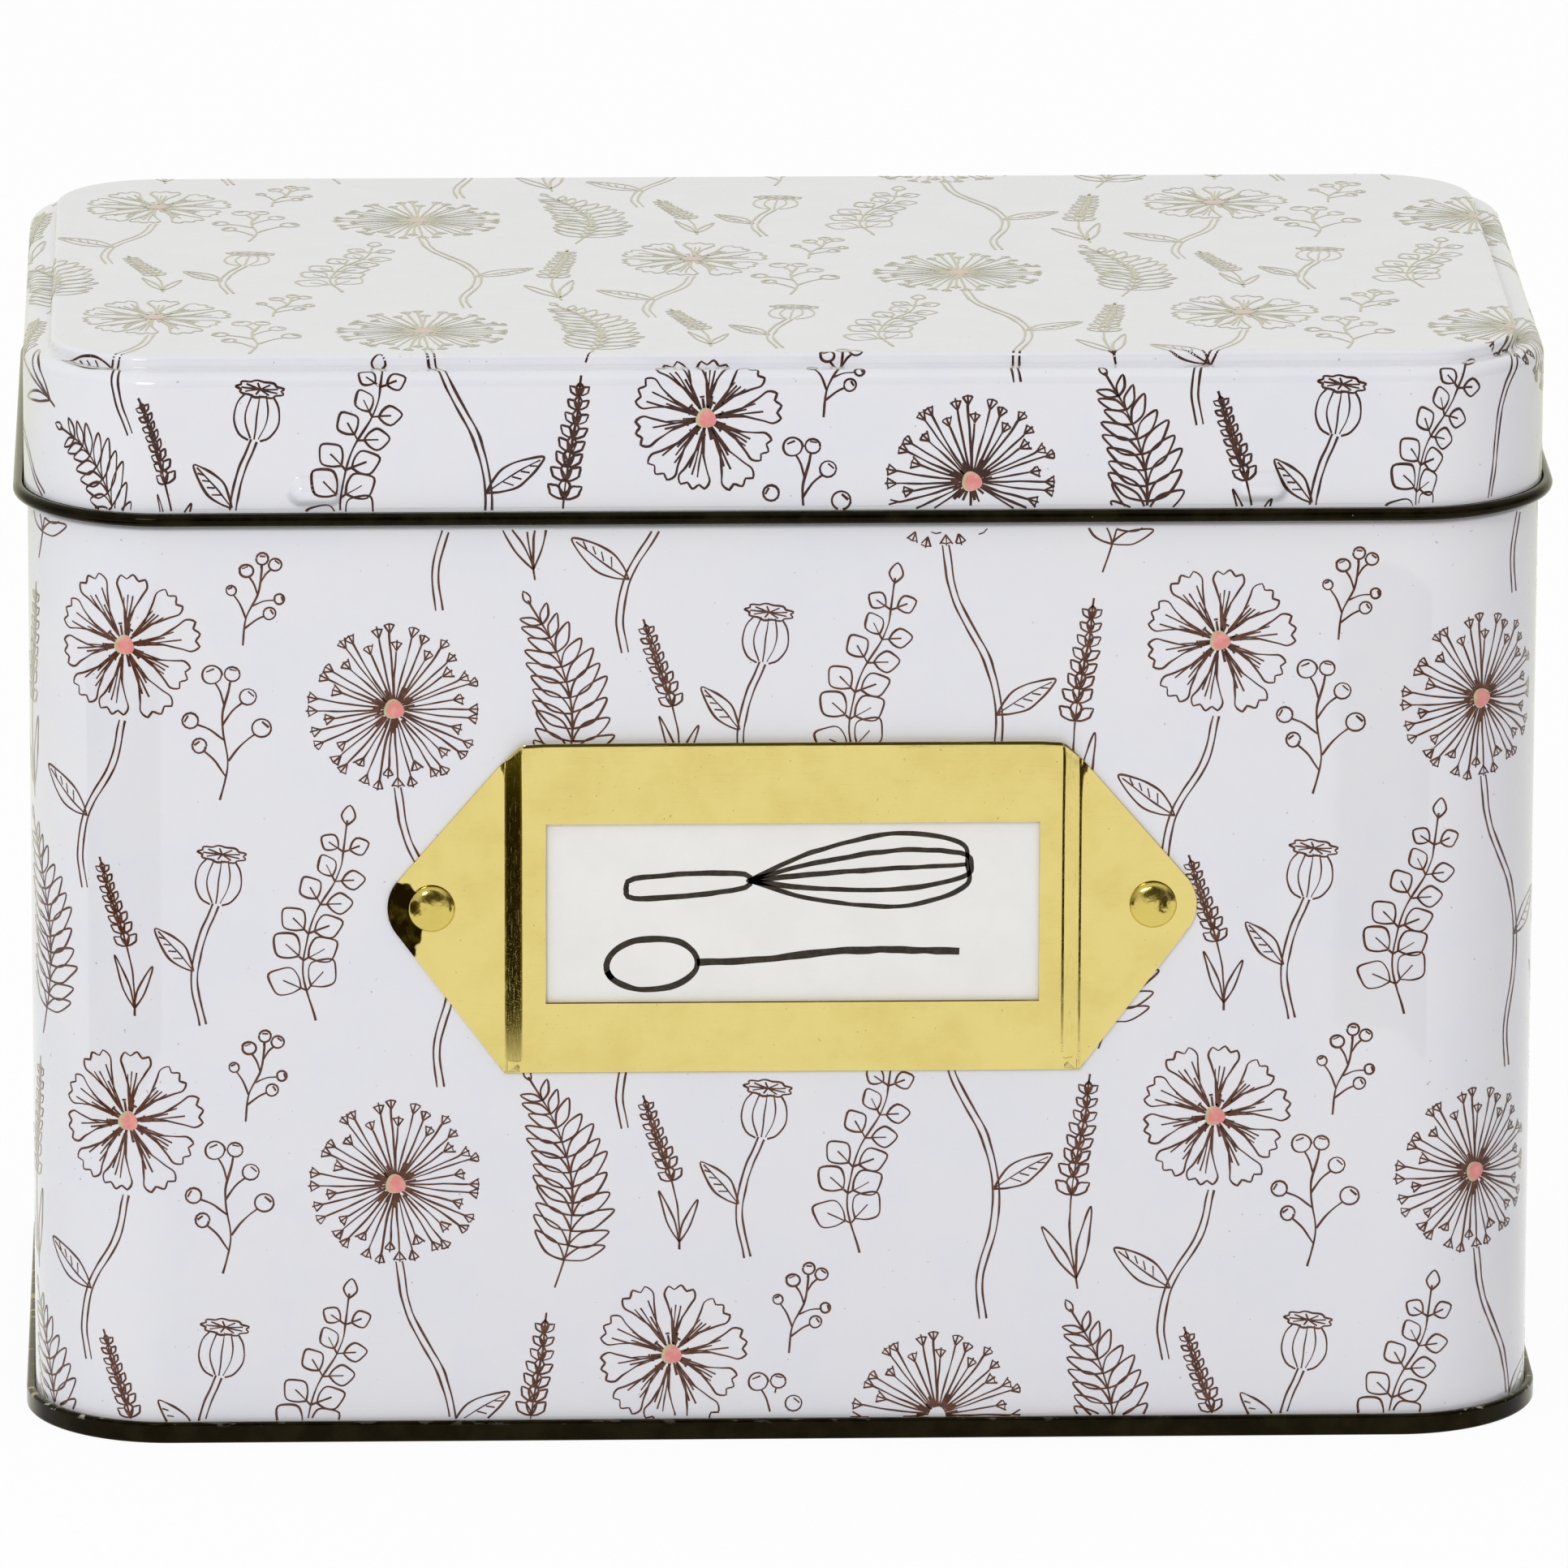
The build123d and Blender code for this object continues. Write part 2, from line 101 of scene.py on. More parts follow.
# ---- Label frame, rivets and card ----
FRAME_X = 0.6
FRAME_FOOT_Z = 43.7
FRAME_HEIGHT = 39.0
FRAME_SHEET = 0.4
RAISED_HALF = 30.7
STEP_RUN = 2.4
FRAME_HALF = RAISED_HALF + STEP_RUN
STANDOFF = 1.35
BOTTOM_BEVEL = 1.9
FOLD_FLAT = 0.4           # flat strip between the raised middle's outline and the slope, at the sides
FOLD_FLAT_FOOT = 0.1      # and along the foot
INNER_BEND_R = 1.4        # where the side's slope leaves the wing
FOOT_BEND_R = 0.3
OUTER_BEND_R = 1.5        # where a slope turns into the raised front
FOLD_END_RISE = 0.24      # the wing curls up toward the upper end of each fold
FOLD_END_REACH = 1.3
FOLD_END_LENGTH = 4.6
EDGE_ROLL = (0.9, 0.86, 0.4, 0.14, 0.0)   # rows in from the top edge, where it rolls back
EDGE_DROP = (0.0, 0.0, 0.03, 0.07, 0.14)  # how far it has gone back there
PUNCH_ROLL = (0.2, 0.16)  # rows round the window, where its edge rolls back
PUNCH_DROP = 0.06
WING_SLANT_RUN = 11.96    # the wing's upper edge
WING_SLANT_RISE = 13.6
WING_TOP_DROP = 2.6
WING_FOOT_RISE = 0.5
RIVET_X = 41.0
RIVET_Z = 63.2
WING_TIP_R = 5.0
WINDOW_SIDE = 2.7
WINDOW_FOOT = 8.6
WINDOW_HEAD = 9.5
WINDOW_CELLS = 4          # the grid's cells up the window, left open
RIVET_HEAD_R = 2.7
RIVET_HEAD_HEIGHT = 1.25
RIVET_R = 1.6
RIVET_BORE_R = 0.9
RIVET_BORE_END = -0.02    # where the hollow shank ends, under the head
RIVET_CLINCH_R = 2.4
RIVET_CLINCH = 0.55
CARD_FACE_Y = -48.675


# ---- The printed design: line drawings of plants, in millimetres, before they are laid on the tin ----
PEN = 0.22                # width of a line
LID_PEN = 1.2             # how much wider the lines are on the lid
PEN_STEP = 0.42           # length of a line's straight bits
TREMOR = 0.035            # how far the hand wavers
TREMOR_WAVE = 2.6
TILE_WIDTH = 62.0         # the design repeats at this pitch, each column half a tile lower than the last
TILE_HEIGHT = 56.0
HEAD_R = 9.2
COSMOS_R = 8.8


def smooth_line(points, step=PEN_STEP):
    """A smooth line through the points (Catmull-Rom), as points about a step apart."""
    p = np.array(points, float)
    p = np.vstack([2 * p[0] - p[1], p, 2 * p[-1] - p[-2]])
    out = []
    for a, b, c, d in zip(p, p[1:], p[2:], p[3:]):
        count = max(1, int(round(np.hypot(*(c - b)) / step)))
        t = (np.arange(count) / count)[:, None]
        out.append(0.5 * (2 * b + (c - a) * t + (2 * a - 5 * b + 4 * c - d) * t ** 2
                          + (3 * b - a - 3 * c + d) * t ** 3))
    out.append(p[-2][None])
    return np.vstack(out)


def turned(points, angle, origin=(0.0, 0.0)):
    c, s = math.cos(angle), math.sin(angle)
    return np.array(points, float) @ np.array([[c, s], [-s, c]]) + origin


def polar(radius, angle):
    return np.array([radius * math.cos(angle), radius * math.sin(angle)])


def beside(line, offset):
    """The line moved sideways, to its left for a positive offset."""
    tangent = np.gradient(line, axis=0)
    tangent /= np.linalg.norm(tangent, axis=1)[:, None] + 1e-9
    return line + offset * np.column_stack([-tangent[:, 1], tangent[:, 0]])


def point_on(stem, share):
    """The point at this share of a stroke's line, and the line's direction there as an angle."""
    line = stem[0]
    i = min(int(share * (len(line) - 1)), len(line) - 2)
    run = line[i + 1] - line[i]
    return line[i], math.atan2(run[1], run[0])


def stroke(points, pen=1.0, step=PEN_STEP):
    """A pen line through the points, and its width."""
    return smooth_line(points, step), PEN * pen


def ray(angle, start, end, pen, bend=0.0, step=PEN_STEP):
    """A short line away from a flower's middle."""
    return stroke([polar(start, angle), polar(end, angle + bend)], pen, step)


def leaf(foot, angle, length, width, belly=0.45):
    """A pointed leaf's outline that starts and ends at its foot, drawn along an angle."""
    side = [(0, 0), (0.2, 0.62), (belly, 1.0), (0.78, 0.62), (1, 0)]
    shape = [(x * length, y * width / 2) for x, y in side]
    shape += [(x * length, -y * width / 2) for x, y in reversed(side[:-1])]
    return stroke(turned(shape, angle, foot), 1.0, 0.3)


def double_stem(route, gap=0.75):
    line = smooth_line(route)
    return [(beside(line, gap / 2), PEN), (beside(line, -gap / 2), PEN)]


def veined_leaf(foot, angle, length, width):
    """A leaf with a midrib and short side veins on one half."""
    midrib = [(0, 0), (length * 0.5, width * 0.06), (length * 0.93, 0)]
    strokes = [leaf(foot, angle, length, width), stroke(turned(midrib, angle, foot), 0.8)]
    for share in (0.3, 0.45, 0.6, 0.75):
        vein = [(share * length, 0), ((share + 0.1) * length, -width * 0.36 * (1.25 - share))]
        strokes.append(stroke(turned(vein, angle, foot), 0.75))
    return strokes


def seed_head(rng):
    """A round seed clock: fine rays, each with a small three-armed tuft, and a few shorter ones."""
    rays, short_rays, arms = 42, 24, (-0.55, 0.0, 0.55)
    strokes = []
    for i in range(rays):
        angle = math.tau * (i + rng.uniform(-0.2, 0.2)) / rays
        reach = HEAD_R * rng.uniform(0.86, 0.97) * (0.78 if i % 3 == 1 else 1.0)
        start = rng.uniform(1.0, 1.6)
        bend = rng.uniform(-0.03, 0.03)
        tip = polar(reach, angle)
        bent = [polar(start, angle), polar((start + reach) / 2, angle + bend), tip]
        strokes.append(stroke(bent, rng.uniform(0.8, 1.05)))
        for arm in arms:
            length = HEAD_R * 0.13 * rng.uniform(0.85, 1.15)
            strokes.append(stroke([tip, tip + polar(length, angle + arm)], 0.85))
        strokes.append(stroke([tip + polar(HEAD_R * 0.12, angle + arm) for arm in arms], 0.7))
    for i in range(short_rays):
        angle = math.tau * (i + rng.uniform(0.1, 0.9)) / short_rays
        strokes.append(ray(angle, 1.0, rng.uniform(1.9, 2.9), 1.15, 0.04))
    return strokes


def cosmos(rng):
    """A flower with ten notched and veined petals round a ring of stamens."""
    edge = [(0.0, 0.15), (0.07, 0.42), (0.2, 0.72), (0.245, 0.88), (0.17, 0.98), (0.09, 0.93)]
    petals, stamens = 10, 18
    strokes = []
    for i in range(petals):
        angle = math.tau * (i + rng.uniform(-0.08, 0.08)) / petals
        size = COSMOS_R * rng.uniform(0.92, 1.05)
        half = [polar(r * size, angle + a) for a, r in edge]
        other = [polar(r * size, angle - a) for a, r in reversed(edge)]
        strokes.append(stroke(half + [polar(size, angle)] + other, 1.0, 0.35))
        for a in (-0.13, -0.045, 0.05, 0.13):
            reach = size * rng.uniform(0.5, 0.84)
            strokes.append(stroke([polar(1.5, angle + a * 0.6), polar(reach, angle + a)], 0.8))
    for i in range(stamens):
        angle = math.tau * (i + rng.uniform(0.2, 0.8)) / stamens
        reach = rng.uniform(1.8, 2.5)
        strokes += [ray(angle, 1.0, reach, 1.2), ray(angle, reach, reach + 0.25, 2.0, step=0.15)]
    return strokes


def fern(rng):
    """A curved frond with paired leaflets that shorten toward its tip."""
    stem = stroke([(0, 0), (1.2, 6), (0.9, 12), (-1.2, 18), (-4.4, 23)])
    strokes = [stem]
    pairs = 12
    for i in range(pairs):
        share = 0.14 + 0.82 * i / pairs
        foot, along = point_on(stem, share)
        length = 4.6 * math.sin(math.pi * (0.2 + 0.75 * share)) + 0.5
        for side in (-1, 1):
            lean = side * (1.05 - 0.35 * share + rng.uniform(-0.08, 0.08))
            strokes.append(leaf(foot, along + lean, length * rng.uniform(0.9, 1.08), length * 0.36))
    strokes.append(leaf(*point_on(stem, 0.999), 1.6, 0.7))
    return strokes


def lavender(rng):
    """A spike of small buds in whorls on a thin stem, with two narrow leaves at its foot."""
    stem = stroke([(0, 0), (-0.6, 7), (0.2, 14), (1.8, 21), (2.6, 26)])
    strokes = [stem]
    for i in range(8):
        foot, along = point_on(stem, 0.46 + 0.064 * i)
        size = 2.5 - 0.14 * i
        for lean in (-0.8, 0.05, 0.85):
            angle = along + lean * rng.uniform(0.85, 1.15)
            strokes.append(leaf(foot, angle, size, size * 0.52, 0.62))
    foot, along = point_on(stem, 0.06)
    strokes += [leaf(foot, along + lean, length, 1.2) for lean, length in ((0.4, 7.5), (-0.35, 9.0))]
    return strokes


def poppy_pod():
    """A ribbed seed pod with a scalloped crown on a double-line stem, and a leaf."""
    middle, crown_z = 0.2, 21.3
    strokes = double_stem([(0, 0), (1.6, 5), (1.5, 10), (middle, 15)])
    outline = [(-0.5, 15), (-1.6, 15.6), (-2.5, 17.4), (-2.3, 19.4), (-1.5, 20.6)]
    strokes += [stroke(outline), stroke([(middle - (x - middle), y) for x, y in outline])]
    for x in (-1.0, middle, 1.4):
        from_middle = x - middle
        rib = [(middle + from_middle * 0.4, 15.2), (x * 1.15, 17.8), (middle + from_middle * 0.7, 20.6)]
        strokes.append(stroke(rib, 0.75))
    crown = [(middle + 2.75 * math.cos(a) * (1 + 0.09 * math.cos(9 * a)),
              crown_z + 0.95 * math.sin(a) * (1 + 0.09 * math.cos(9 * a)))
             for a in np.linspace(0, math.tau, 55)]
    strokes.append((np.array(crown), PEN))
    for i in range(9):
        a = math.tau * i / 9
        rim = (middle + 2.3 * math.cos(a), crown_z + 0.75 * math.sin(a))
        strokes.append(stroke([(middle, crown_z), rim], 0.8))
    return strokes + veined_leaf((1.9, 6.5), 0.75, 7.0, 2.4)


def round_leaves(rng):
    """A sprig with round leaves on short stalks, opposite each other."""
    stem = stroke([(0, 0), (-0.8, 5), (0.6, 10), (3.2, 14), (4.4, 19)])
    strokes = [stem]
    for i in range(6):
        foot, along = point_on(stem, 0.16 + 0.14 * i)
        size = 3.3 - 0.28 * i
        for side in (-1, 1):
            angle = along + side * (1.0 + rng.uniform(-0.1, 0.1))
            start = foot + polar(0.6, angle)
            strokes += [stroke([foot, start]), leaf(start, angle, size, size * 0.86, 0.5),
                        stroke([start, start + polar(size * 0.55, angle)], 0.75)]
    strokes.append(leaf(*point_on(stem, 0.999), 1.9, 1.3))
    return strokes


def berries(rng):
    """A loose spray of berries."""
    stem = stroke([(0, 0), (0.4, 4), (-0.6, 8), (-0.2, 12)])
    strokes = [stem]
    for share, lean, length in ((0.2, 0.9, 3.4), (0.36, -0.8, 3.8), (0.52, 0.8, 3.2),
                                (0.66, -0.75, 3.0), (0.82, 0.6, 2.4), (0.998, 0, 0.5)):
        foot, along = point_on(stem, share)
        end = foot + polar(length, along + lean)
        strokes.append(stroke([foot, (foot + end) / 2 + polar(0.3, along), end]))
        r = rng.uniform(0.7, 0.95)
        ring = [end + polar(r, along + lean) + polar(r, a) for a in np.linspace(0, math.tau, 13)]
        cup = [end + polar(r * 1.6, along + lean + a) for a in (-0.3, 0.3)]
        strokes += [stroke(ring, 1.0, 0.3), stroke(cup, 1.0, 0.2)]
    return strokes


def placed(strokes, x, y, angle=0.0, size=1.0, flip=1):
    """The strokes turned, sized, mirrored where flip is -1, and moved to x, y. The pen stays as wide."""
    return [(turned(line * (size * flip, size), math.radians(angle), (x, y)), width)
            for line, width in strokes]


def wander(run, rng, size):
    """A value that strays smoothly about zero as a line runs on."""
    knots = np.arange(0, run[-1] + 2 * TREMOR_WAVE, TREMOR_WAVE / 2)
    fine = np.linspace(0, knots[-1], 4 * len(knots))
    rough = np.interp(fine, knots, rng.normal(0, size, len(knots)))
    return np.interp(run, fine, np.convolve(np.pad(rough, 2, "edge"), (0.1, 0.2, 0.4, 0.2, 0.1), "valid"))


def wavered(strokes, seed, pen_change=0.22):
    """The strokes as a hand draws them: slightly off the line, and with a varying pen."""
    rng = np.random.default_rng(seed)
    out = []
    for line, width in strokes:
        run = np.concatenate([[0], np.cumsum(np.hypot(*np.diff(line, axis=0).T))])
        shift = [wander(run, rng, TREMOR) for _ in range(2)]
        pen = width * (1 + wander(run, rng, pen_change).clip(-0.35, 0.35))
        out.append((line + np.column_stack(shift), pen))
    return out


def design_tile():
    """One repeat of the design: its strokes and its flower centres as (x, y, radius)."""
    rng = random.Random(11)
    head, flower = (15.0, 41.5), (46.5, 21.0)
    head_stem = [(15.4, 41.5 - HEAD_R), (16.6, 26), (20.5, 18), (21.6, 10), (19.8, 2), (20.2, -3)]
    flower_stem = [(46.2, 21 - COSMOS_R), (45.0, 7), (41.6, 1), (40.6, -4), (41.2, -8)]
    strokes = placed(seed_head(rng), *head) + placed(cosmos(rng), *flower, 10)
    strokes += double_stem(head_stem) + double_stem(flower_stem)
    strokes += veined_leaf((21.3, 12.5), 0.55, 7.8, 2.8) + veined_leaf((41.6, 0.5), 2.5, 8.0, 2.8)
    strokes += placed(fern(rng), 33.2, 29.0, -4, 1.08)
    strokes += placed(lavender(rng), 31.0, 0.5, 3, 0.98)
    strokes += placed(poppy_pod(), 55.2, 32.5, -7, 0.95, -1)
    strokes += placed(round_leaves(rng), 6.0, 5.0, 4, 1.22)
    strokes += placed(berries(rng), 57.3, 3.0, -6, 1.15)
    strokes += placed(lavender(rng), 47.4, 33.5, 7, 0.72, -1)
    strokes += placed(berries(rng), 60.0, 21.0, -12, 0.8, -1)
    return wavered(strokes, 5), [(*head, 1.15), (*flower, 1.15)]


# ---- Meshes ----
def new_object(name, points, faces, *materials):
    """An object in the scene, from points in millimetres."""
    mesh = bpy.data.meshes.new(name)
    mesh.from_pydata((np.asarray(points) * MM).tolist(), [], faces)
    for material in materials:
        mesh.materials.append(material)
    obj = bpy.data.objects.new(name, mesh)
    bpy.context.scene.collection.objects.link(obj)
    return obj


def piece(name, points, faces, materials, body, slots=None, replaces=(), sharp_deg=38):
    """A piece of the box, smooth but for its sharp edges, riding on a body."""
    obj = new_object(name, points, faces, *materials)
    if slots is not None:
        obj.data.polygons.foreach_set("material_index", slots)
    work = bmesh.new()
    work.from_mesh(obj.data)
    if sharp_deg:
        bmesh.ops.recalc_face_normals(work, faces=work.faces)
    for face in work.faces:
        face.smooth = True
    for edge in work.edges:
        edge.smooth = edge.calc_face_angle(math.pi) < math.radians(sharp_deg) if sharp_deg else True
    work.to_mesh(obj.data)
    work.free()
    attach(obj, body)
    if replaces:
        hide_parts(*replaces)
    return obj


def arc(centre, radius, start, turn, count):
    angles = start + turn * np.arange(count + 1) / count
    return [(centre[0] + radius * math.cos(a), centre[1] + radius * math.sin(a)) for a in angles]


def rounded(points, radius, count=6, support=0.06):
    """An open line whose corners are arcs, with a point just before and after each of them."""
    out = [tuple(points[0])]
    for before, corner, after in zip(points, points[1:], points[2:]):
        p, a, b = (np.array(v, float) for v in (corner, before, after))
        to_a, to_b = (a - p) / np.linalg.norm(a - p), (b - p) / np.linalg.norm(b - p)
        half = math.acos(np.clip(to_a @ to_b, -1, 1)) / 2
        reach = radius / math.tan(half)
        centre = p + (to_a + to_b) / np.linalg.norm(to_a + to_b) * radius / math.sin(half)
        start, end = p + to_a * reach, p + to_b * reach
        a0 = math.atan2(*(start - centre)[::-1])
        a1 = math.atan2(*(end - centre)[::-1])
        turn = (a1 - a0 + math.pi) % math.tau - math.pi
        out += [tuple(start + to_a * support), *arc(centre, radius, a0, turn, count),
                tuple(end + to_b * support)]
    return out + [tuple(points[-1])]


# ---- The outline round the box ----
def stations(extra_front=(), extra_rear=(), corner_count=22):
    """Places round the box, anticlockwise from the front's left end.

    Each is (ux, uy, nx, ny): how far toward the corner centres it lies, and the way it faces.
    """
    flat_x = WIDTH / 2 - CORNER_R
    near_end = 1 - 0.1 / flat_x
    plain = [near_end, 0.86, 0.72, 0.57, 0.43, 0.29, 0.14]
    across = {0.0, *plain, *(-f for f in plain)}
    front = sorted(across | {x / flat_x for x in extra_front})
    rear = sorted(across | {x / flat_x for x in extra_rear}, reverse=True)
    depth = [-near_end, -0.66, -0.33, 0.0, 0.33, 0.66, near_end]
    quarter = [math.pi / 2 * k / corner_count for k in range(corner_count + 1)]
    out = [(f, -1, 0, -1) for f in front]
    out += [(1, -1, math.sin(a), -math.cos(a)) for a in quarter]
    out += [(1, f, 1, 0) for f in depth]
    out += [(1, 1, math.cos(a), math.sin(a)) for a in quarter]
    out += [(f, 1, 0, 1) for f in rear]
    out += [(-1, 1, -math.sin(a), math.cos(a)) for a in quarter]
    out += [(-1, -f, -1, 0) for f in depth]
    out += [(-1, -1, -math.cos(a), -math.sin(a)) for a in quarter]
    return np.array(out, float)


def on_outline(places, out, radius, z):
    """Points at these places on the outline that lies out from the wall and has this corner radius."""
    ux, uy, nx, ny = places.T
    return np.column_stack([ux * (WIDTH / 2 + out - radius) + radius * nx,
                            uy * (DEPTH / 2 + out - radius) + radius * ny,
                            np.broadcast_to(z, ux.shape)])


def bump_height(x, z, proud, shrink=0.0):
    """How far the pair of snap bumps stands out at this place on the front."""
    half_height = BUMP_HEIGHT / 2 - shrink
    straight = (BUMP_LENGTH - BUMP_HEIGHT) / 2
    along = np.maximum(np.abs(np.abs(x) - BUMP_X) - straight, 0)
    away = np.clip(np.hypot(along, z - BUMP_Z) / half_height, 0, 1)
    return proud * (1 - away ** 2.6) ** 1.7


def lid_profile():
    """The lid's outer face from the raised top's edge to the skirt's foot: (out, z, radius)."""
    edge = arc((-PANEL_EDGE_R, LID_TOP_Z - PANEL_EDGE_R), PANEL_EDGE_R, math.pi / 2, -math.pi / 2, 6)
    fillet = arc((LEDGE_FILLET_R, LEDGE_Z + LEDGE_FILLET_R), LEDGE_FILLET_R, math.pi, math.pi / 2, 4)
    bend_u = PANEL_INSET - LID_EDGE_R
    bend = arc((bend_u, LEDGE_Z - LID_EDGE_R), LID_EDGE_R, math.pi / 2, -math.pi / 2, 12)
    fine_rows = np.arange(BUMP_Z + 2.2, BUMP_Z - 2.0, -0.22)
    skirt = [(PANEL_INSET, z) for z in (LEDGE_Z - LID_EDGE_R - 0.08, 121.0, 118.0, 115.6, *fine_rows)]
    line = edge + fillet + [(LEDGE_FILLET_R + 0.06, LEDGE_Z), (bend_u - 0.08, LEDGE_Z)] + bend + skirt
    line.append((PANEL_INSET, SKIRT_FOOT_Z))
    rows = []
    for u, z in line:
        share = np.clip((u - LEDGE_FILLET_R) / (bend_u - LEDGE_FILLET_R), 0, 1)
        opened = CORNER_R + LID_OUT - PANEL_INSET - PANEL_R
        rows.append((LID_OUT - PANEL_INSET + u, z, PANEL_R + u + share * opened))
    return np.array(rows)


def band_faces(rows, count, steps):
    """Faces between rows of points that each hold this many."""
    return [(r * count + k, r * count + (k + 1) % count, (r + 1) * count + (k + 1) % count,
             (r + 1) * count + k) for r in range(rows - 1) for k in range(steps)]


def swept(places, rows, round_box=True, shape=None):
    """Points and faces of rows (out, z, radius) carried round the places. shape may move the points."""
    points = np.array([on_outline(places, out, radius, z) for out, z, radius in rows])
    if shape:
        points = shape(points)
    count = len(places)
    return points.reshape(-1, 3), band_faces(len(rows), count, count if round_box else count - 1)


def add_cap(points, faces, start, count):
    """Fills a flat ring of points with shrinking rings, so that the flat stays evenly lit."""
    ring = np.array(points[start:start + count])
    middle = ring.mean(axis=0)
    rings = [start]
    for share in (0.998, 0.85, 0.6, 0.3, 0.08):
        rings.append(len(points))
        points += (middle + (ring - middle) * (share, share, 1)).tolist()
    points.append(middle.tolist())
    for k in range(count):
        after = (k + 1) % count
        faces += [(a + k, a + after, b + after, b + k) for a, b in zip(rings, rings[1:])]
        faces.append((rings[-1] + k, rings[-1] + after, len(points) - 1))


def capped(places, first_side, second_side, shape=None):
    """Two sides of a sheet carried round the box, with a flat across each: points, faces and slots."""
    rows = [*first_side, *second_side]
    points, faces = swept(places, rows, shape=shape)
    points = points.tolist()
    count, steps = len(places), len(rows) - 1
    slots = [int(r >= len(first_side)) for r in range(steps) for _ in range(count)]
    for start in (0, count * steps):
        add_cap(points, faces, start, count)
        slots += [int(start > 0)] * (len(faces) - len(slots))
    return points, faces, slots


def sheet_rows(line):
    """Both faces of a bent sheet from its middle line, as rows (out, z, radius)."""
    line = np.array(line, float)
    return [[(out, z, CORNER_R + out) for out, z in beside(line, side * SHEET / 2)] for side in (1, -1)]


def closed_sheet(places, line, slot_of, round_box=True, shape=None):
    """A bent sheet carried round the places, closed at both of its edges, and at its ends if open."""
    left, right = sheet_rows(line)
    rows = left + right[::-1]
    rows.append(rows[0])
    points, faces = swept(places, rows, round_box, shape)
    count, around = len(places), len(rows) - 1
    own = count * around
    faces = [tuple(i % own for i in face) for face in faces]
    steps = count if round_box else count - 1
    slots = [slot_of(r, len(left)) for r in range(around) for _ in range(steps)]
    if not round_box:
        for k in (0, count - 1):
            faces += [(r * count + k, (r + 1) * count + k, (around - 2 - r) * count + k,
                       (around - 1 - r) * count + k) for r in range(len(left) - 1)]
            slots += [slot_of(r, len(left)) for r in range(len(left) - 1)]
    return points[:own], faces, slots


# ---- Body ----
def wall_line():
    """Middle of the wall's sheet: the hook in the seam, the wall, the shoulder and the curled neck."""
    hook = [(HOOK_OUT, HOOK_EDGE_Z), (HOOK_OUT, HOOK_FOOT_Z), (-SHEET / 2, HOOK_FOOT_Z)]
    upright = [(-SHEET / 2, SHOULDER_Z), (NECK_OUT, NECK_FOOT_Z)]
    curl_z = NECK_TOP_Z - SHEET / 2 - NECK_CURL_R
    line = rounded([*hook, *upright, (NECK_OUT, curl_z)], 0.3, 5)
    fine = [(NECK_OUT, z) for z in np.arange(BUMP_Z - 1.6, BUMP_Z + 1.7, 0.2)]
    return line[:-1] + fine + arc((NECK_OUT - NECK_CURL_R, curl_z), NECK_CURL_R, 0, 1.5 * math.pi, 14)


def on_flat_front(x, y, out):
    """True on the front's flat part, farther out than this."""
    return (y < -out) & (np.abs(x) < WIDTH / 2 - CORNER_R)


def wall_shape(points):
    """Adds the neck's snap bumps and the side seam to the wall's rows."""
    x, y, z = points[..., 0], points[..., 1], points[..., 2]
    front = on_flat_front(x, y, 0) & (z > NECK_FOOT_Z)
    y -= np.where(front, bump_height(x, z, NECK_BEAD_PROUD, 0.5), 0)
    tall = (z > SEAM_HEIGHT + 0.3) & (z < SHOULDER_Z - 0.3)
    outer = y > DEPTH / 2 - 0.01
    y -= np.where(tall & outer & (np.abs(x + SIDE_SEAM_X) < 0.03), SIDE_SEAM_GROOVE, 0)
    inner = tall & (np.abs(y - DEPTH / 2 + SHEET) < 0.01) & (np.abs(x) < SIDE_SEAM_WIDTH / 2)
    y -= np.where(inner, 2 * SHEET, 0)
    return points


def make_wall(white, bare):
    beads = np.concatenate([np.arange(-2.8, 2.9, 0.28) + x for x in (-BUMP_X, BUMP_X)])
    seam = [-SIDE_SEAM_X - 0.12, -SIDE_SEAM_X, -SIDE_SEAM_X + 0.12, SIDE_SEAM_WIDTH / 2 + 0.1]
    points, faces, slots = closed_sheet(stations(beads, seam), wall_line(),
                                        lambda r, count: int(r < count - 1), shape=wall_shape)
    piece("body_wall_tin", points, faces, (white, bare), "box", slots, ["body_wall"])


def make_base(black, bare):
    """The base panel, its upright wall and the double seam folded round the wall's hook."""
    step_z = BASE_Z + BASE_STEP
    flat_out = -BASE_STEP_INSET - 2 * BASE_STEP
    seam_top = SEAM_HEIGHT - SHEET / 2
    line = [(flat_out, step_z), (flat_out + BASE_STEP, step_z), (-BASE_STEP_INSET, BASE_Z),
            (CHUCK_OUT, BASE_Z), (CHUCK_OUT, SHEET / 2), (SEAM_OUT, SHEET / 2), (SEAM_OUT, seam_top),
            (BASE_HOOK_OUT, seam_top), (BASE_HOOK_OUT, BASE_HOOK_EDGE_Z)]
    sides = sheet_rows(rounded(line, 0.22, 6, 0.04))
    under, over = sorted(sides, key=lambda side: np.mean([row[1] for row in side]))
    under, over = ([(out, z, max(r, 2.0)) for out, z, r in side] for side in (under, over))
    points, faces, slots = capped(stations(), under, over[::-1])
    piece("base_seam", points, faces, (black, bare), "box", slots, ["bottom_panel"])


# ---- Lid ----
def lid_shape(points):
    """Presses the snap bumps out of the front of the skirt."""
    x, y, z = points[..., 0], points[..., 1], points[..., 2]
    y -= np.where(on_flat_front(x, y, DEPTH / 2), bump_height(x, z, BUMP_PROUD), 0)
    return points


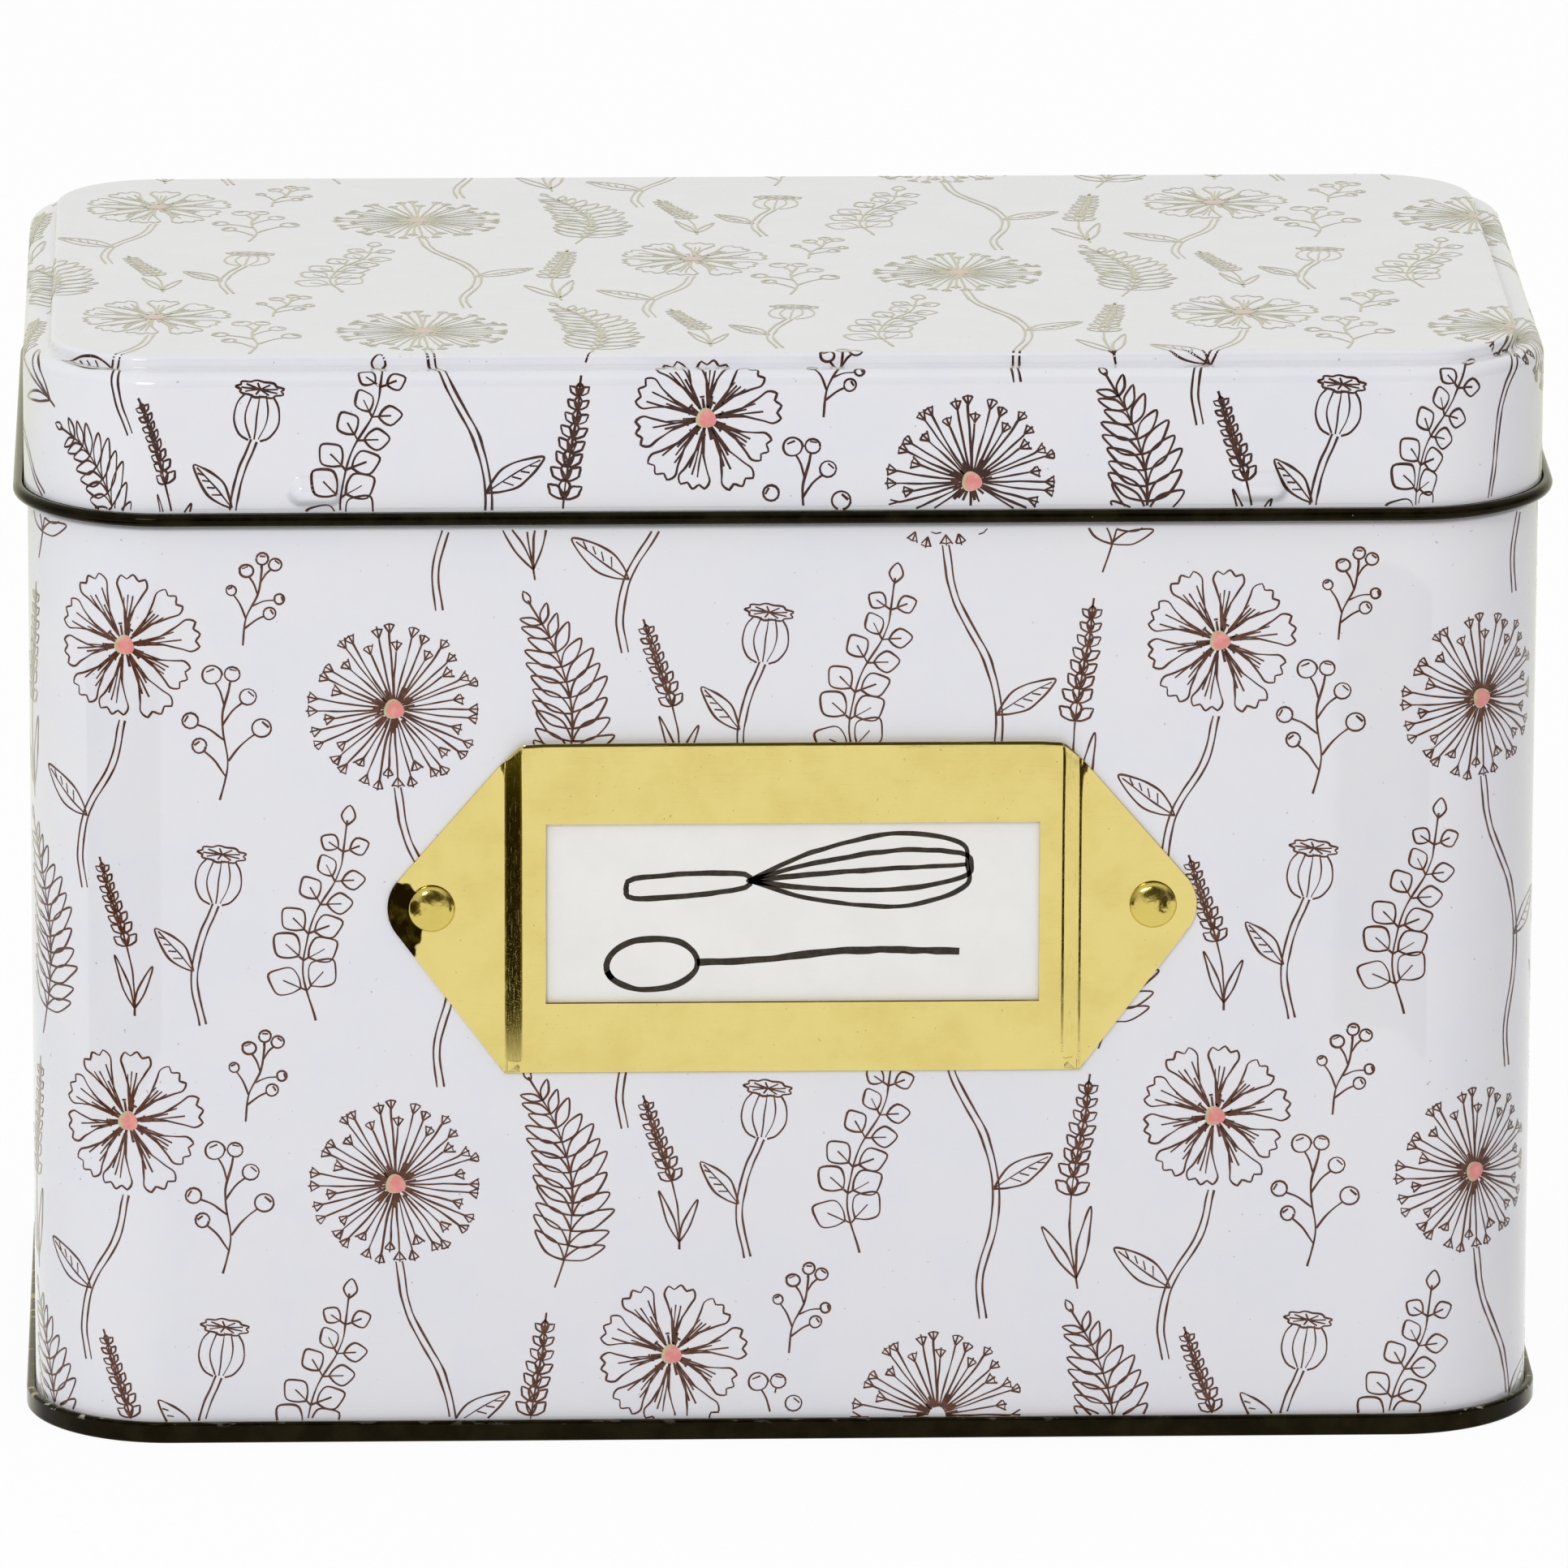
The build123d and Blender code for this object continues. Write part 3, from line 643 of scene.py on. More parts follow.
def make_lid(white, bare):
    fine = np.concatenate([np.arange(-3.6, 3.61, 0.2) + x for x in (-BUMP_X, BUMP_X)])
    outer = lid_profile()
    line = outer[:, :2]
    inward = line - beside(line, 1.0)
    inner = np.column_stack([line + SHEET * inward, outer[:, 2] + SHEET * inward[:, 0]])
    points, faces, slots = capped(stations(fine), outer, inner[::-1], lid_shape)
    piece("lid_tin", points, faces, (white, bare), "lid", slots, ["lid_shell"])


def rim_slot(row_index, count):
    """White where the skirt still runs plain on its outside, black from there on."""
    return int(row_index in (0, 2 * count - 2))


def make_rim(black, white):
    """The rim curled outward from the skirt's foot, cut away at the rear where the lugs wrap the wire."""
    skirt_out = LID_OUT - SHEET / 2
    line = [(skirt_out, z) for z in (SKIRT_FOOT_Z + 0.02, PRINT_FOOT_Z, CURL_Z + 0.3)]
    line += arc((CURL_OUT, CURL_Z), CURL_R, math.pi, CURL_TURN, 26)
    inner_end, outer_end = LUG_X - NOTCH_HALF, LUG_X + NOTCH_HALF
    places = stations(extra_rear=[-outer_end, -inner_end, inner_end, outer_end])
    rear = np.where((places[:, 2] == 0) & (places[:, 3] == 1))[0]
    x = places[rear, 0] * (WIDTH / 2 - CORNER_R)
    middle = rear[np.abs(x) < inner_end + 0.01]
    right_end = rear[x > outer_end - 0.01].max()
    left_start = rear[x < -outer_end + 0.01].min()
    long_way = np.concatenate([np.arange(left_start, len(places)), np.arange(0, right_end + 1)])
    for name, chosen in (("rim_curl", long_way), ("rim_curl_rear", middle)):
        points, faces, slots = closed_sheet(places[chosen], line, rim_slot, False)
        piece(name, points, faces, (black, white), "lid", slots)


# ---- Label frame and rivets ----
def bend_line(run, flat, first_r):
    """Across a sloped side: distance in from its foot, and how far the plate's face stands out."""
    line = [(0, FRAME_SHEET), (flat, FRAME_SHEET), (run, STANDOFF), (run + 1.6, STANDOFF)]
    first = rounded(line[:3], first_r, 8, 0.02)
    return np.array(first[:-1] + rounded([first[-2], line[2], line[3]], OUTER_BEND_R, 10, 0.02)[1:])


def frame_top(x):
    """Height of the frame's top edge: the wing's slant runs on over the slope and rounds into it."""
    slant = WING_SLANT_RISE / WING_SLANT_RUN
    over = np.abs(x) - (FRAME_HALF - WING_TOP_DROP / slant)
    return FRAME_FOOT_Z + FRAME_HEIGHT - slant * (over + np.sqrt(over ** 2 + 0.35)) / 2


def fold_end(x, z):
    """How far the plate curls up beside the upper end of a fold."""
    out = np.maximum(np.abs(x) - (FRAME_HALF - FOLD_FLAT), 0) / FOLD_END_REACH
    down = (frame_top(FRAME_HALF) - z) / FOLD_END_LENGTH
    return FOLD_END_RISE * np.maximum(1 - np.hypot(out, down), 0) ** 2


def frame_grid():
    """The raised middle's grid of points (x, z, stand-off), its columns and rows on the bends."""
    side = bend_line(STEP_RUN, FOLD_FLAT, INNER_BEND_R)
    foot = bend_line(BOTTOM_BEVEL, FOLD_FLAT_FOOT, FOOT_BEND_R)
    window_half = RAISED_HALF - WINDOW_SIDE
    window_z = (FRAME_FOOT_Z + WINDOW_FOOT, FRAME_FOOT_Z + FRAME_HEIGHT - WINDOW_HEAD)
    left = side[:-1, 0] - FRAME_HALF
    beyond = [window_half + roll for roll in PUNCH_ROLL]
    middle = np.concatenate([[-x for x in beyond], np.linspace(-window_half, window_half, 9),
                             beyond[::-1]])
    columns = np.concatenate([left, middle, -left[::-1]])
    side_height = np.concatenate([side[:-1, 1], np.full(len(middle), STANDOFF), side[:-1, 1][::-1]])
    window_rows = [*(window_z[0] - roll for roll in PUNCH_ROLL), *np.linspace(*window_z, WINDOW_CELLS + 1),
                   *(window_z[1] + roll for roll in PUNCH_ROLL[::-1])]
    points = []
    for i, x in enumerate(columns):
        rise = max(abs(x) - FRAME_HALF + WING_FOOT_RISE / 1.3, 0) * 1.3
        foot_z = FRAME_FOOT_Z + rise + foot[:-1, 0] * (1 - rise / foot[-1, 0])
        top = frame_top(x)
        over = [window_z[1] + share * (top - window_z[1]) for share in (0.35, 0.7)]
        rows = np.concatenate([foot_z, window_rows, over, top - np.array(EDGE_ROLL)])
        drops = [*[0] * (len(rows) - len(EDGE_ROLL)), *EDGE_DROP]
        side_index = min(i, len(columns) - 1 - i)
        raised = (side_height[i] - FRAME_SHEET) / (STANDOFF - FRAME_SHEET)
        for j, z in enumerate(rows):
            height = foot[j, 1] if j < min(side_index, len(foot)) else side_height[i]
            height -= raised * drops[j]
            height += (1 - raised) * fold_end(x, z)
            if abs(x) < window_half + 0.01 and abs(2 * z - sum(window_z)) < np.ptp(window_z) + 0.01:
                height -= PUNCH_DROP
            points.append((x, z, height))
    shape = (len(columns), len(rows), 3)
    return np.array(points).reshape(shape), len(left) + len(beyond), len(foot_z) + len(PUNCH_ROLL)


def wing(edge, side):
    """Points of one wing from the raised middle's edge column out to its round tip."""
    tip = np.array([RIVET_X, RIVET_Z])
    ends = []
    for corner, turn in ((edge[0, :2], -1), (edge[-1, :2], 1)):
        reach = np.abs(corner) - tip
        toward = math.atan2(reach[1], reach[0])
        ends.append(toward - turn * math.acos(WING_TIP_R / np.hypot(*reach)))
    share = (edge[:, 1] - edge[0, 1]) / (edge[-1, 1] - edge[0, 1])
    columns = []
    even = np.linspace(0, 1, len(edge))
    for u in np.linspace(0, 1, 20) ** 1.8:
        spread = share + (even - share) * min(4 * u, 1)
        start = np.column_stack([np.interp(spread, share, np.abs(edge[:, 0])),
                                 np.interp(spread, share, edge[:, 1])])
        angles = ends[0] + (ends[1] - ends[0]) * spread
        round_end = tip + WING_TIP_R * np.column_stack([np.cos(angles), np.sin(angles)])
        chord = round_end[0] + (round_end[-1] - round_end[0]) * spread[:, None]
        at = start + (chord - start) * u + (round_end - chord) * u ** 2
        columns.append(np.column_stack([side * at[:, 0], at[:, 1], FRAME_SHEET + fold_end(*at.T)]))
    return columns


def grid_faces(columns, rows, side_count, foot_count):
    """Faces of the raised middle, left open at the window and halved along the folds' mitres."""
    faces = []
    for i in range(columns - 1):
        across = side_count <= i < columns - side_count - 1
        for j in range(rows - 1):
            if across and foot_count <= j < foot_count + WINDOW_CELLS:
                continue
            a, b = i * rows + j, (i + 1) * rows + j
            if i == j:
                faces += [(a, b, b + 1), (a, b + 1, a + 1)]
            elif columns - 2 - i == j:
                faces += [(a, b, a + 1), (b, b + 1, a + 1)]
            else:
                faces.append((a, b, b + 1, a + 1))
    return faces


def make_label_frame(brass):
    grid, side_count, foot_count = frame_grid()
    columns, rows = grid.shape[:2]
    points = grid.reshape(-1, 3).tolist()
    faces = grid_faces(columns, rows, side_count, foot_count)
    for side, column in ((-1, 0), (1, columns - 1)):
        before = [column * rows + j for j in range(rows)]
        for new in wing(grid[column], side)[1:]:
            after = list(range(len(points), len(points) + len(new)))
            points += new.tolist()
            faces += [(before[k], after[k], after[k + 1], before[k + 1])[::side]
                      for k in range(len(new) - 1)]
            before = after
    points = [(FRAME_X + x, -DEPTH / 2 - out, z) for x, z, out in points]
    obj = piece("label_frame_plate", points, faces, (brass,), "box", None,
                ["label_frame"], sharp_deg=0)
    work = bmesh.new()
    work.from_mesh(obj.data)
    bmesh.ops.recalc_face_normals(work, faces=work.faces)
    if sum(face.normal.y * face.calc_area() for face in work.faces) > 0:
        bmesh.ops.reverse_faces(work, faces=work.faces)
    work.to_mesh(obj.data)
    work.free()
    thick = obj.modifiers.new("thick", "SOLIDIFY")
    thick.thickness = FRAME_SHEET * MM
    thick.offset = -1
    edges = obj.modifiers.new("edges", "BEVEL")
    edges.width = 0.05 * MM
    edges.segments = 3
    edges.limit_method = "ANGLE"
    edges.angle_limit = math.radians(50)
    edges.harden_normals = True
    edges.use_clamp_overlap = False
    built = bpy.data.meshes.new_from_object(obj.evaluated_get(bpy.context.evaluated_depsgraph_get()))
    obj.modifiers.clear()
    obj.data = built


def make_rivet(side, brass):
    """A domed head, a hollow shank through both sheets and the clinch inside."""
    dome = [(RIVET_HEAD_R * math.sin(a), 0.22 + (RIVET_HEAD_HEIGHT - 0.22) * math.cos(a) ** 0.9)
            for a in np.linspace(0.12, math.pi / 2 * 0.97, 14)]
    grip = -FRAME_SHEET - SHEET
    clinch = arc((RIVET_CLINCH_R - 0.36, grip - 0.3), 0.3, math.pi / 2, -math.pi * 0.9, 8)
    profile = dome + [(RIVET_HEAD_R, 0.16), (RIVET_HEAD_R, 0.03), (RIVET_HEAD_R - 0.05, 0), (RIVET_R, 0),
                      (RIVET_R, grip), *clinch, (RIVET_BORE_R + 0.2, grip - RIVET_CLINCH + 0.1),
                      (RIVET_BORE_R, grip - 0.3), (RIVET_BORE_R, RIVET_BORE_END)]
    count = 48
    angles = math.tau * np.arange(count) / count
    points = [(r * math.cos(a), -h, r * math.sin(a)) for r, h in profile for a in angles]
    faces = band_faces(len(profile), count, count)
    for start, height in ((0, RIVET_HEAD_HEIGHT), ((len(profile) - 1) * count, RIVET_BORE_END)):
        points.append((0, -height, 0))
        faces += [(start + k, start + (k + 1) % count, len(points) - 1) for k in range(count)]
    middle = np.array([FRAME_X + side * RIVET_X, -DEPTH / 2 - FRAME_SHEET, RIVET_Z])
    name = "left" if side < 0 else "right"
    piece(f"rivet_{name}", np.array(points) + middle, faces, (brass,), "box", None,
          [f"label_rivet_{name}"])


# ---- Print laid on the tin ----
INK_PROUD = 0.02
INK_LAYER = 0.0006        # strokes that cross lie this much above one another
INK_LAYERS = 23
LID_SHEET_MARGIN = 22.0   # how far the lid's flat sheet reaches past its outline
SHORTEST = 3.4            # an end of a line shorter than this, cut off by an edge, is left out


def body_length():
    return 2 * (WIDTH + DEPTH - 4 * CORNER_R) + math.tau * CORNER_R


def body_place(points, proud=INK_PROUD):
    """Places on the wall for points (along the outline from the rear's middle, height)."""
    flat_x, flat_y = WIDTH - 2 * CORNER_R, DEPTH - 2 * CORNER_R
    s, out = points[:, 0], np.zeros((len(points), 3))
    radius = np.broadcast_to(CORNER_R + proud, s.shape)
    x, y, heading, begin = 0.0, flat_y / 2, math.pi / 2, 0.0
    for flat in (flat_x / 2, flat_y, flat_x, flat_y, flat_x / 2):
        facing = np.array([math.cos(heading), math.sin(heading)])
        ahead = np.array([-facing[1], facing[0]])
        here = (s >= begin) & (s <= begin + flat)
        out[here, :2] = (x, y) + np.outer(s[here] - begin, ahead) + np.outer(radius[here], facing)
        x, y = x + ahead[0] * flat, y + ahead[1] * flat
        begin += flat
        here = (s > begin) & (s < begin + math.pi / 2 * CORNER_R)
        angle = heading + (s[here] - begin) / CORNER_R
        around = np.column_stack([np.cos(angle), np.sin(angle)])
        out[here, :2] = (x, y) + around * radius[here][:, None]
        heading += math.pi / 2
        begin += math.pi / 2 * CORNER_R
    out[:, 2] = points[:, 1]
    return out


LID_ROWS = np.vstack([lid_profile(), (LID_OUT, PRINT_FOOT_Z, CORNER_R + LID_OUT)])
LID_RUN = np.concatenate([[0], np.cumsum(np.hypot(*np.diff(LID_ROWS[:, :2], axis=0).T))])
LID_CORE = np.array([WIDTH / 2, DEPTH / 2]) + LID_OUT - PANEL_INSET - PANEL_R


def lid_run(points):
    """How far each point of the flat sheet lies down the lid's profile."""
    away = points - np.clip(points, -LID_CORE, LID_CORE)
    return np.hypot(*away.T) - (PANEL_R - PANEL_EDGE_R)


def lid_place(points, proud=INK_PROUD):
    """Places on the lid for points of the flat sheet that it was pressed from."""
    side = beside(LID_ROWS[:, :2], 1.0) - LID_ROWS[:, :2]
    near = np.clip(points, -LID_CORE, LID_CORE)
    away = points - near
    facing = away / np.maximum(np.hypot(*away.T), 1e-6)[:, None]
    s = lid_run(points)
    out, z, radius, lift, rise = (np.interp(s, LID_RUN, column) for column in (*LID_ROWS.T, *side.T))
    half = np.array([WIDTH / 2, DEPTH / 2])
    across = near / LID_CORE * (half + (out - radius)[:, None])
    across += (radius + lift * proud)[:, None] * facing
    flat = s <= 0
    across[flat] = points[flat]
    z = np.where(flat, LID_TOP_Z + proud, z + rise * proud)
    x, y = across.T
    y = y - np.where(on_flat_front(x, y, DEPTH / 2), bump_height(x, z, BUMP_PROUD), 0)
    return np.column_stack([x, y, z])


def repeats(low, high):
    """The tile's shifts that cover an area of the design's plane."""
    for i in range(math.floor(low[0] / TILE_WIDTH) - 1, math.ceil(high[0] / TILE_WIDTH) + 1):
        drop = (i % 2) * TILE_HEIGHT / 2
        for j in range(math.floor(low[1] / TILE_HEIGHT) - 1, math.ceil(high[1] / TILE_HEIGHT) + 2):
            yield np.array([i * TILE_WIDTH, j * TILE_HEIGHT - drop])


def ribbons(strokes, low, high, keep, offset, wide=1.0):
    """Edges of every stroke in an area, the faces between them, and how proud each of them lies."""
    edges, faces, layers, count = [], [], [], 0
    sides = [(beside(line, 0.5) - line) * (pen * wide)[:, None] for line, pen in strokes]
    for shift in repeats(low - offset, high - offset):
        for number, (line, _) in enumerate(strokes):
            at = line + shift + offset
            if (at.max(axis=0) < low).any() or (at.min(axis=0) > high).any():
                continue
            good = keep(at)
            if not good.all() and good.sum() * PEN_STEP < SHORTEST:
                continue
            half = sides[number]
            index = count + 2 * np.arange(len(at))
            edges.append(np.stack([at + half, at - half], axis=1).reshape(-1, 2))
            a = index[np.where(good[:-1] & good[1:])[0]]
            faces.append(np.column_stack([a, a + 1, a + 3, a + 2]))
            layers.append(np.full(2 * len(at), INK_PROUD + INK_LAYER * (number % INK_LAYERS)))
            count += 2 * len(at)
    return np.vstack(edges), np.vstack(faces), np.concatenate(layers)


def ribbon_object(name, points, faces, ink, body):
    used, inverse = np.unique(faces, return_inverse=True)
    obj = new_object(name, points[used], inverse.reshape(faces.shape).tolist(), ink)
    obj.data.polygons.foreach_set("use_smooth", [True] * len(obj.data.polygons))
    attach(obj, body)


def flower_discs(centres, low, high, keep, offset, size, aside):
    """Small round patches in the design's plane, fine enough to follow a bend: points and faces."""
    count = 20
    ring = math.tau * np.arange(count) / count
    points, faces = [], []
    for shift in repeats(low - offset, high - offset):
        for x, y, radius in centres:
            middle = np.array([x, y]) + aside + shift + offset
            rim = radius * size * (1 + 0.07 * np.sin(3 * ring + middle[0]))[:, None]
            rim = rim * np.column_stack([np.cos(ring), np.sin(ring)])
            if not keep(middle + rim).all():
                continue
            start = len(points)
            points += [middle, *(middle + rim / 2), *(middle + rim)]
            inner, outer = start + 1, start + 1 + count
            for k in range(count):
                after, third = (k + 1) % count, (k + 2) % count
                faces.append((inner + k, outer + k, outer + after, inner + after))
                if k % 2 == 0:
                    faces.append((start, inner + k, inner + after, inner + third))
    return np.array(points), np.array(faces)


KHAKI = (1.0, (0.0, 0.0), 0.036)       # size, how far aside and how proud a flower's patch is laid
PINK = (0.86, (0.2, -0.06), 0.040)


def print_centres(name, centres, place, low, high, keep, offset, inks, body):
    for ink, kind, (size, aside, proud) in ((inks[1], "pink", PINK), (inks[2], "khaki", KHAKI)):
        flat, faces = flower_discs(centres, low, high, keep, offset, size, np.array(aside))
        ribbon_object(f"print_{name}_{kind}", place(flat, proud), faces, ink, body)


def print_body(strokes, centres, inks):
    length = body_length()
    low, high = np.array([0.0, SEAM_HEIGHT - 0.1]), np.array([length, SHOULDER_Z - 0.15])
    offset = np.array(BODY_PRINT_SHIFT)

    def keep(at):
        inside = (at[:, 0] > 0.02) & (at[:, 0] < length - 0.02)
        return inside & (at[:, 1] > low[1]) & (at[:, 1] < high[1])

    flat, faces, proud = ribbons(strokes, low, high, keep, offset)
    flat[:, 0] = np.clip(flat[:, 0], 0, length)
    points = body_place(flat, proud)
    quarter = np.minimum((flat[faces[:, 0], 0] / (length / 4)).astype(int), 3)
    for k, side in enumerate(("rear_left", "front_left", "front_right", "rear_right")):
        name = f"print_body_{side}"
        ribbon_object(name, points, faces[quarter == k], inks[0], "box")
    print_centres("body", centres, body_place, low, high, keep, offset, inks, "box")


def print_lid(strokes, centres, inks):
    size = np.array([WIDTH / 2, DEPTH / 2]) + LID_SHEET_MARGIN
    offset = np.array(LID_PRINT_SHIFT)

    def keep(at):
        return lid_run(at) < LID_RUN[-1] - 0.1

    flat, faces, proud = ribbons(strokes, -size, size, keep, offset, LID_PEN)
    points = lid_place(flat, proud)
    x, y, z = points[faces].mean(axis=1).T
    in_notch = (z < SKIRT_FOOT_Z) & (y > DEPTH / 2) & (np.abs(np.abs(x) - LUG_X) < NOTCH_HALF)
    faces, right = faces[~in_notch], x[~in_notch] > 0
    for side, chosen in (("left", ~right), ("right", right)):
        ribbon_object(f"print_lid_{side}", points, faces[chosen], inks[0], "lid")
    print_centres("lid", centres, lid_place, -size, size, keep, offset, inks, "lid")


# ---- Materials ----
class Nodes:
    """Adds nodes to a tree. An input is linked where it is given a socket, and else set to the value."""

    def __init__(self, tree):
        self.tree = tree

    def node(self, kind, inputs=(), **settings):
        made = self.tree.nodes.new(kind)
        for key, value in settings.items():
            setattr(made, key, value)
        for name, value in dict(inputs).items():
            socket = made.inputs[name]
            if isinstance(value, bpy.types.NodeSocket):
                self.tree.links.new(value, socket)
            else:
                socket.default_value = (*value, 1) if socket.type == "RGBA" else value
        return made

    def ramp(self, source, low, high, to_low=0.0, to_high=1.0, kind="SMOOTHSTEP"):
        return self.node("ShaderNodeMapRange", {0: source, 1: low, 2: high, 3: to_low, 4: to_high},
                         interpolation_type=kind).outputs[0]

    def mix(self, share, first, second):
        return self.node("ShaderNodeMix", {0: share, 6: first, 7: second}, data_type="RGBA").outputs[2]

    def maths(self, operation, first, second=0.0):
        return self.node("ShaderNodeMath", {0: first, 1: second}, operation=operation).outputs[0]

    def times(self, first, second):
        return self.maths("MULTIPLY", first, second)

    def mix_shaders(self, share, first, second):
        inputs = {0: share, 1: first.outputs[0], 2: second.outputs[0]}
        return self.node("ShaderNodeMixShader", inputs).outputs[0]


class Shading(Nodes):
    """A material under construction, with its principled shader at hand."""

    def __init__(self, name, **settings):
        self.material = bpy.data.materials.new(name)
        self.material.use_nodes = True
        super().__init__(self.material.node_tree)
        self.shader = self.tree.nodes["Principled BSDF"]
        self.place = self.node("ShaderNodeTexCoord").outputs["Object"]
        for socket, value in settings.items():
            self.shader.inputs[socket.replace("_", " ")].default_value = value

    def noise(self, scale_mm, detail=3.0, stretch=None, rough=0.5, turn_deg=0):
        """Noise whose features are about this many millimetres across, from 0 to 1."""
        place = self.place
        if stretch:
            turn = (0, math.radians(turn_deg), 0)
            inputs = {0: place, "Rotation": turn, "Scale": stretch}
            place = self.node("ShaderNodeMapping", inputs).outputs[0]
        return self.node("ShaderNodeTexNoise", {"Vector": place, "Scale": 1 / (scale_mm * MM),
                                                "Detail": detail, "Roughness": rough}).outputs[0]

    def axis(self, name):
        """The place along one axis, in millimetres."""
        return self.times(self.node("ShaderNodeSeparateXYZ", {0: self.place}).outputs[name], 1 / MM)

    def scratches(self, scale_mm, turn_deg, low=0.62, high=0.72):
        """Fine straight scratches: noise drawn out one way, and only its peaks."""
        return self.ramp(self.noise(scale_mm, 2.0, (0.02, 1, 1), 0.6, turn_deg), low, high)

    def painted_reflection_share(self, low, high, share):
        """Up to this share where the surface is seen at a grazing angle: the mask for a painted reflection.
        """
        facing = self.node("ShaderNodeLayerWeight", {"Blend": 0.5}).outputs["Facing"]
        return self.ramp(facing, low, high, 0, share)

    def bump(self, height, depth_mm):
        inputs = {"Height": height, "Strength": 1.0, "Distance": depth_mm * MM}
        return self.node("ShaderNodeBump", inputs).outputs[0]

    def surface(self, shader):
        self.tree.links.new(shader, self.tree.nodes["Material Output"].inputs[0])

    def done(self, **sockets):
        for socket, source in sockets.items():
            self.tree.links.new(source, self.shader.inputs[socket.replace("_", " ")])
        return self.material


def printed_white():
    """White enamel under a gloss varnish, with a faint mottle and a few specks of dust."""
    s = Shading("white_enamel", Coat_Weight=1.0, Coat_Roughness=0.04, Coat_IOR=1.5, IOR=1.45,
                Specular_IOR_Level=0.3, Sheen_Weight=0.25, Sheen_Roughness=0.35,
                Sheen_Tint=(1.0, 0.99, 0.86, 1))
    colour = s.mix(s.ramp(s.noise(9.0, 4.0), 0.35, 0.65), WHITE_COOL, WHITE_WARM)
    specks = s.ramp(s.noise(0.5, 0.0), 0.845, 0.87)
    colour = s.mix(s.times(specks, 0.5), colour, (0.30, 0.28, 0.26))
    peel = s.bump(s.noise(1.6, 2.0), 0.004)
    rough = s.ramp(s.noise(4.0), 0.3, 0.7, 0.3, 0.42)
    return s.done(Base_Color=colour, Roughness=rough, Normal=peel, Coat_Normal=peel)


def print_ink(name, deep, thin, painted_reflection_colour=(0.60, 0.56, 0.37)):
    """Ink under the same varnish: uneven in thickness, and paled by a painted reflection where seen at a
    grazing angle.
    """
    s = Shading(name, Coat_Weight=1.0, Coat_Roughness=0.05, Coat_IOR=1.3, Specular_IOR_Level=0.1)
    body = s.ramp(s.noise(0.9, 3.0), 0.35, 0.72)
    # Painted reflection: toward a grazing view the ink's colour is mixed with a pale reflection colour.
    colour = s.mix(s.painted_reflection_share(0.60, 0.73, 0.95), s.mix(body, deep, thin), painted_reflection_colour)
    return s.done(Base_Color=colour, Roughness=s.ramp(s.noise(0.12, 2.0), 0.3, 0.7, 0.35, 0.5))


def black_lacquer():
    """Gloss black with a brown-olive depth, and worn through to the tin along the seam's top edge.

    Its colour turns olive where it is seen at a grazing angle: a painted reflection.
    """
    s = Shading("black_lacquer", IOR=1.42, Specular_IOR_Level=0.13,
                Specular_Tint=(1.0, 0.80, 0.40, 1))
    depth = s.ramp(s.noise(3.0, 3.0), 0.35, 0.7)
    colour = s.mix(depth, (0.0025, 0.0018, 0.0008), (0.010, 0.008, 0.003))
    height = s.axis("Z")
    near_top = s.ramp(height, SEAM_HEIGHT - 0.55, SEAM_HEIGHT - 0.1)
    above = s.ramp(height, SEAM_HEIGHT + 0.2, SEAM_HEIGHT + 0.6, 1.0, 0.0)
    worn = s.ramp(s.noise(0.9, 4.0, (0.35, 1, 1)), 0.60, 0.64)
    side = s.ramp(s.maths("ABSOLUTE", s.axis("X")), 62.0, 80.0, 0.12, 1.0)
    chips = s.times(s.times(near_top, above), s.times(worn, side))
    nicks = s.ramp(s.noise(0.5, 1.0), 0.80, 0.83)
    bare = s.maths("MAXIMUM", chips, s.times(nicks, 0.7))
    # Painted reflection: olive where the lacquer is seen at a grazing angle.
    colour = s.mix(s.painted_reflection_share(0.55, 0.85, 0.8), colour, (0.24, 0.23, 0.12))
    colour = s.mix(bare, colour, (0.42, 0.41, 0.34))
    return s.done(Base_Color=colour, Roughness=s.ramp(s.noise(0.7, 3.0), 0.3, 0.7, 0.07, 0.15),
                  Metallic=s.times(bare, 0.6), Normal=s.bump(s.noise(1.4, 2.0), 0.012))


def bare_tin():
    """Tinplate inside the box: bright, mottled, with the rolling direction just visible."""
    s = Shading("bare_tin", Metallic=1.0)
    mottle = s.ramp(s.noise(6.0, 4.0), 0.3, 0.7)
    rolled = s.noise(0.35, 2.0, (0.12, 1, 1))
    colour = s.mix(mottle, (0.60, 0.60, 0.58), (0.72, 0.72, 0.69))
    stain = s.ramp(s.noise(14.0, 5.0, rough=0.65), 0.62, 0.78)
    colour = s.mix(s.times(stain, 0.35), colour, (0.42, 0.39, 0.33))
    rough = s.maths("ADD", s.ramp(rolled, 0.3, 0.7, 0.16, 0.30), s.times(mottle, 0.08))
    return s.done(Base_Color=colour, Roughness=rough, Normal=s.bump(rolled, 0.004))


def hinge_steel():
    """Drawn steel: dull, with drawing lines and a little brown staining."""
    s = Shading("hinge_steel", Metallic=1.0)
    lines = s.noise(0.12, 2.0, (0.05, 1, 1))
    stain = s.ramp(s.noise(2.2, 4.0), 0.55, 0.75)
    colour = s.mix(stain, (0.50, 0.49, 0.47), (0.26, 0.20, 0.14))
    rough = s.maths("ADD", s.ramp(lines, 0.3, 0.7, 0.24, 0.40), s.times(stain, 0.2))
    return s.done(Base_Color=colour, Roughness=rough, Normal=s.bump(lines, 0.006))


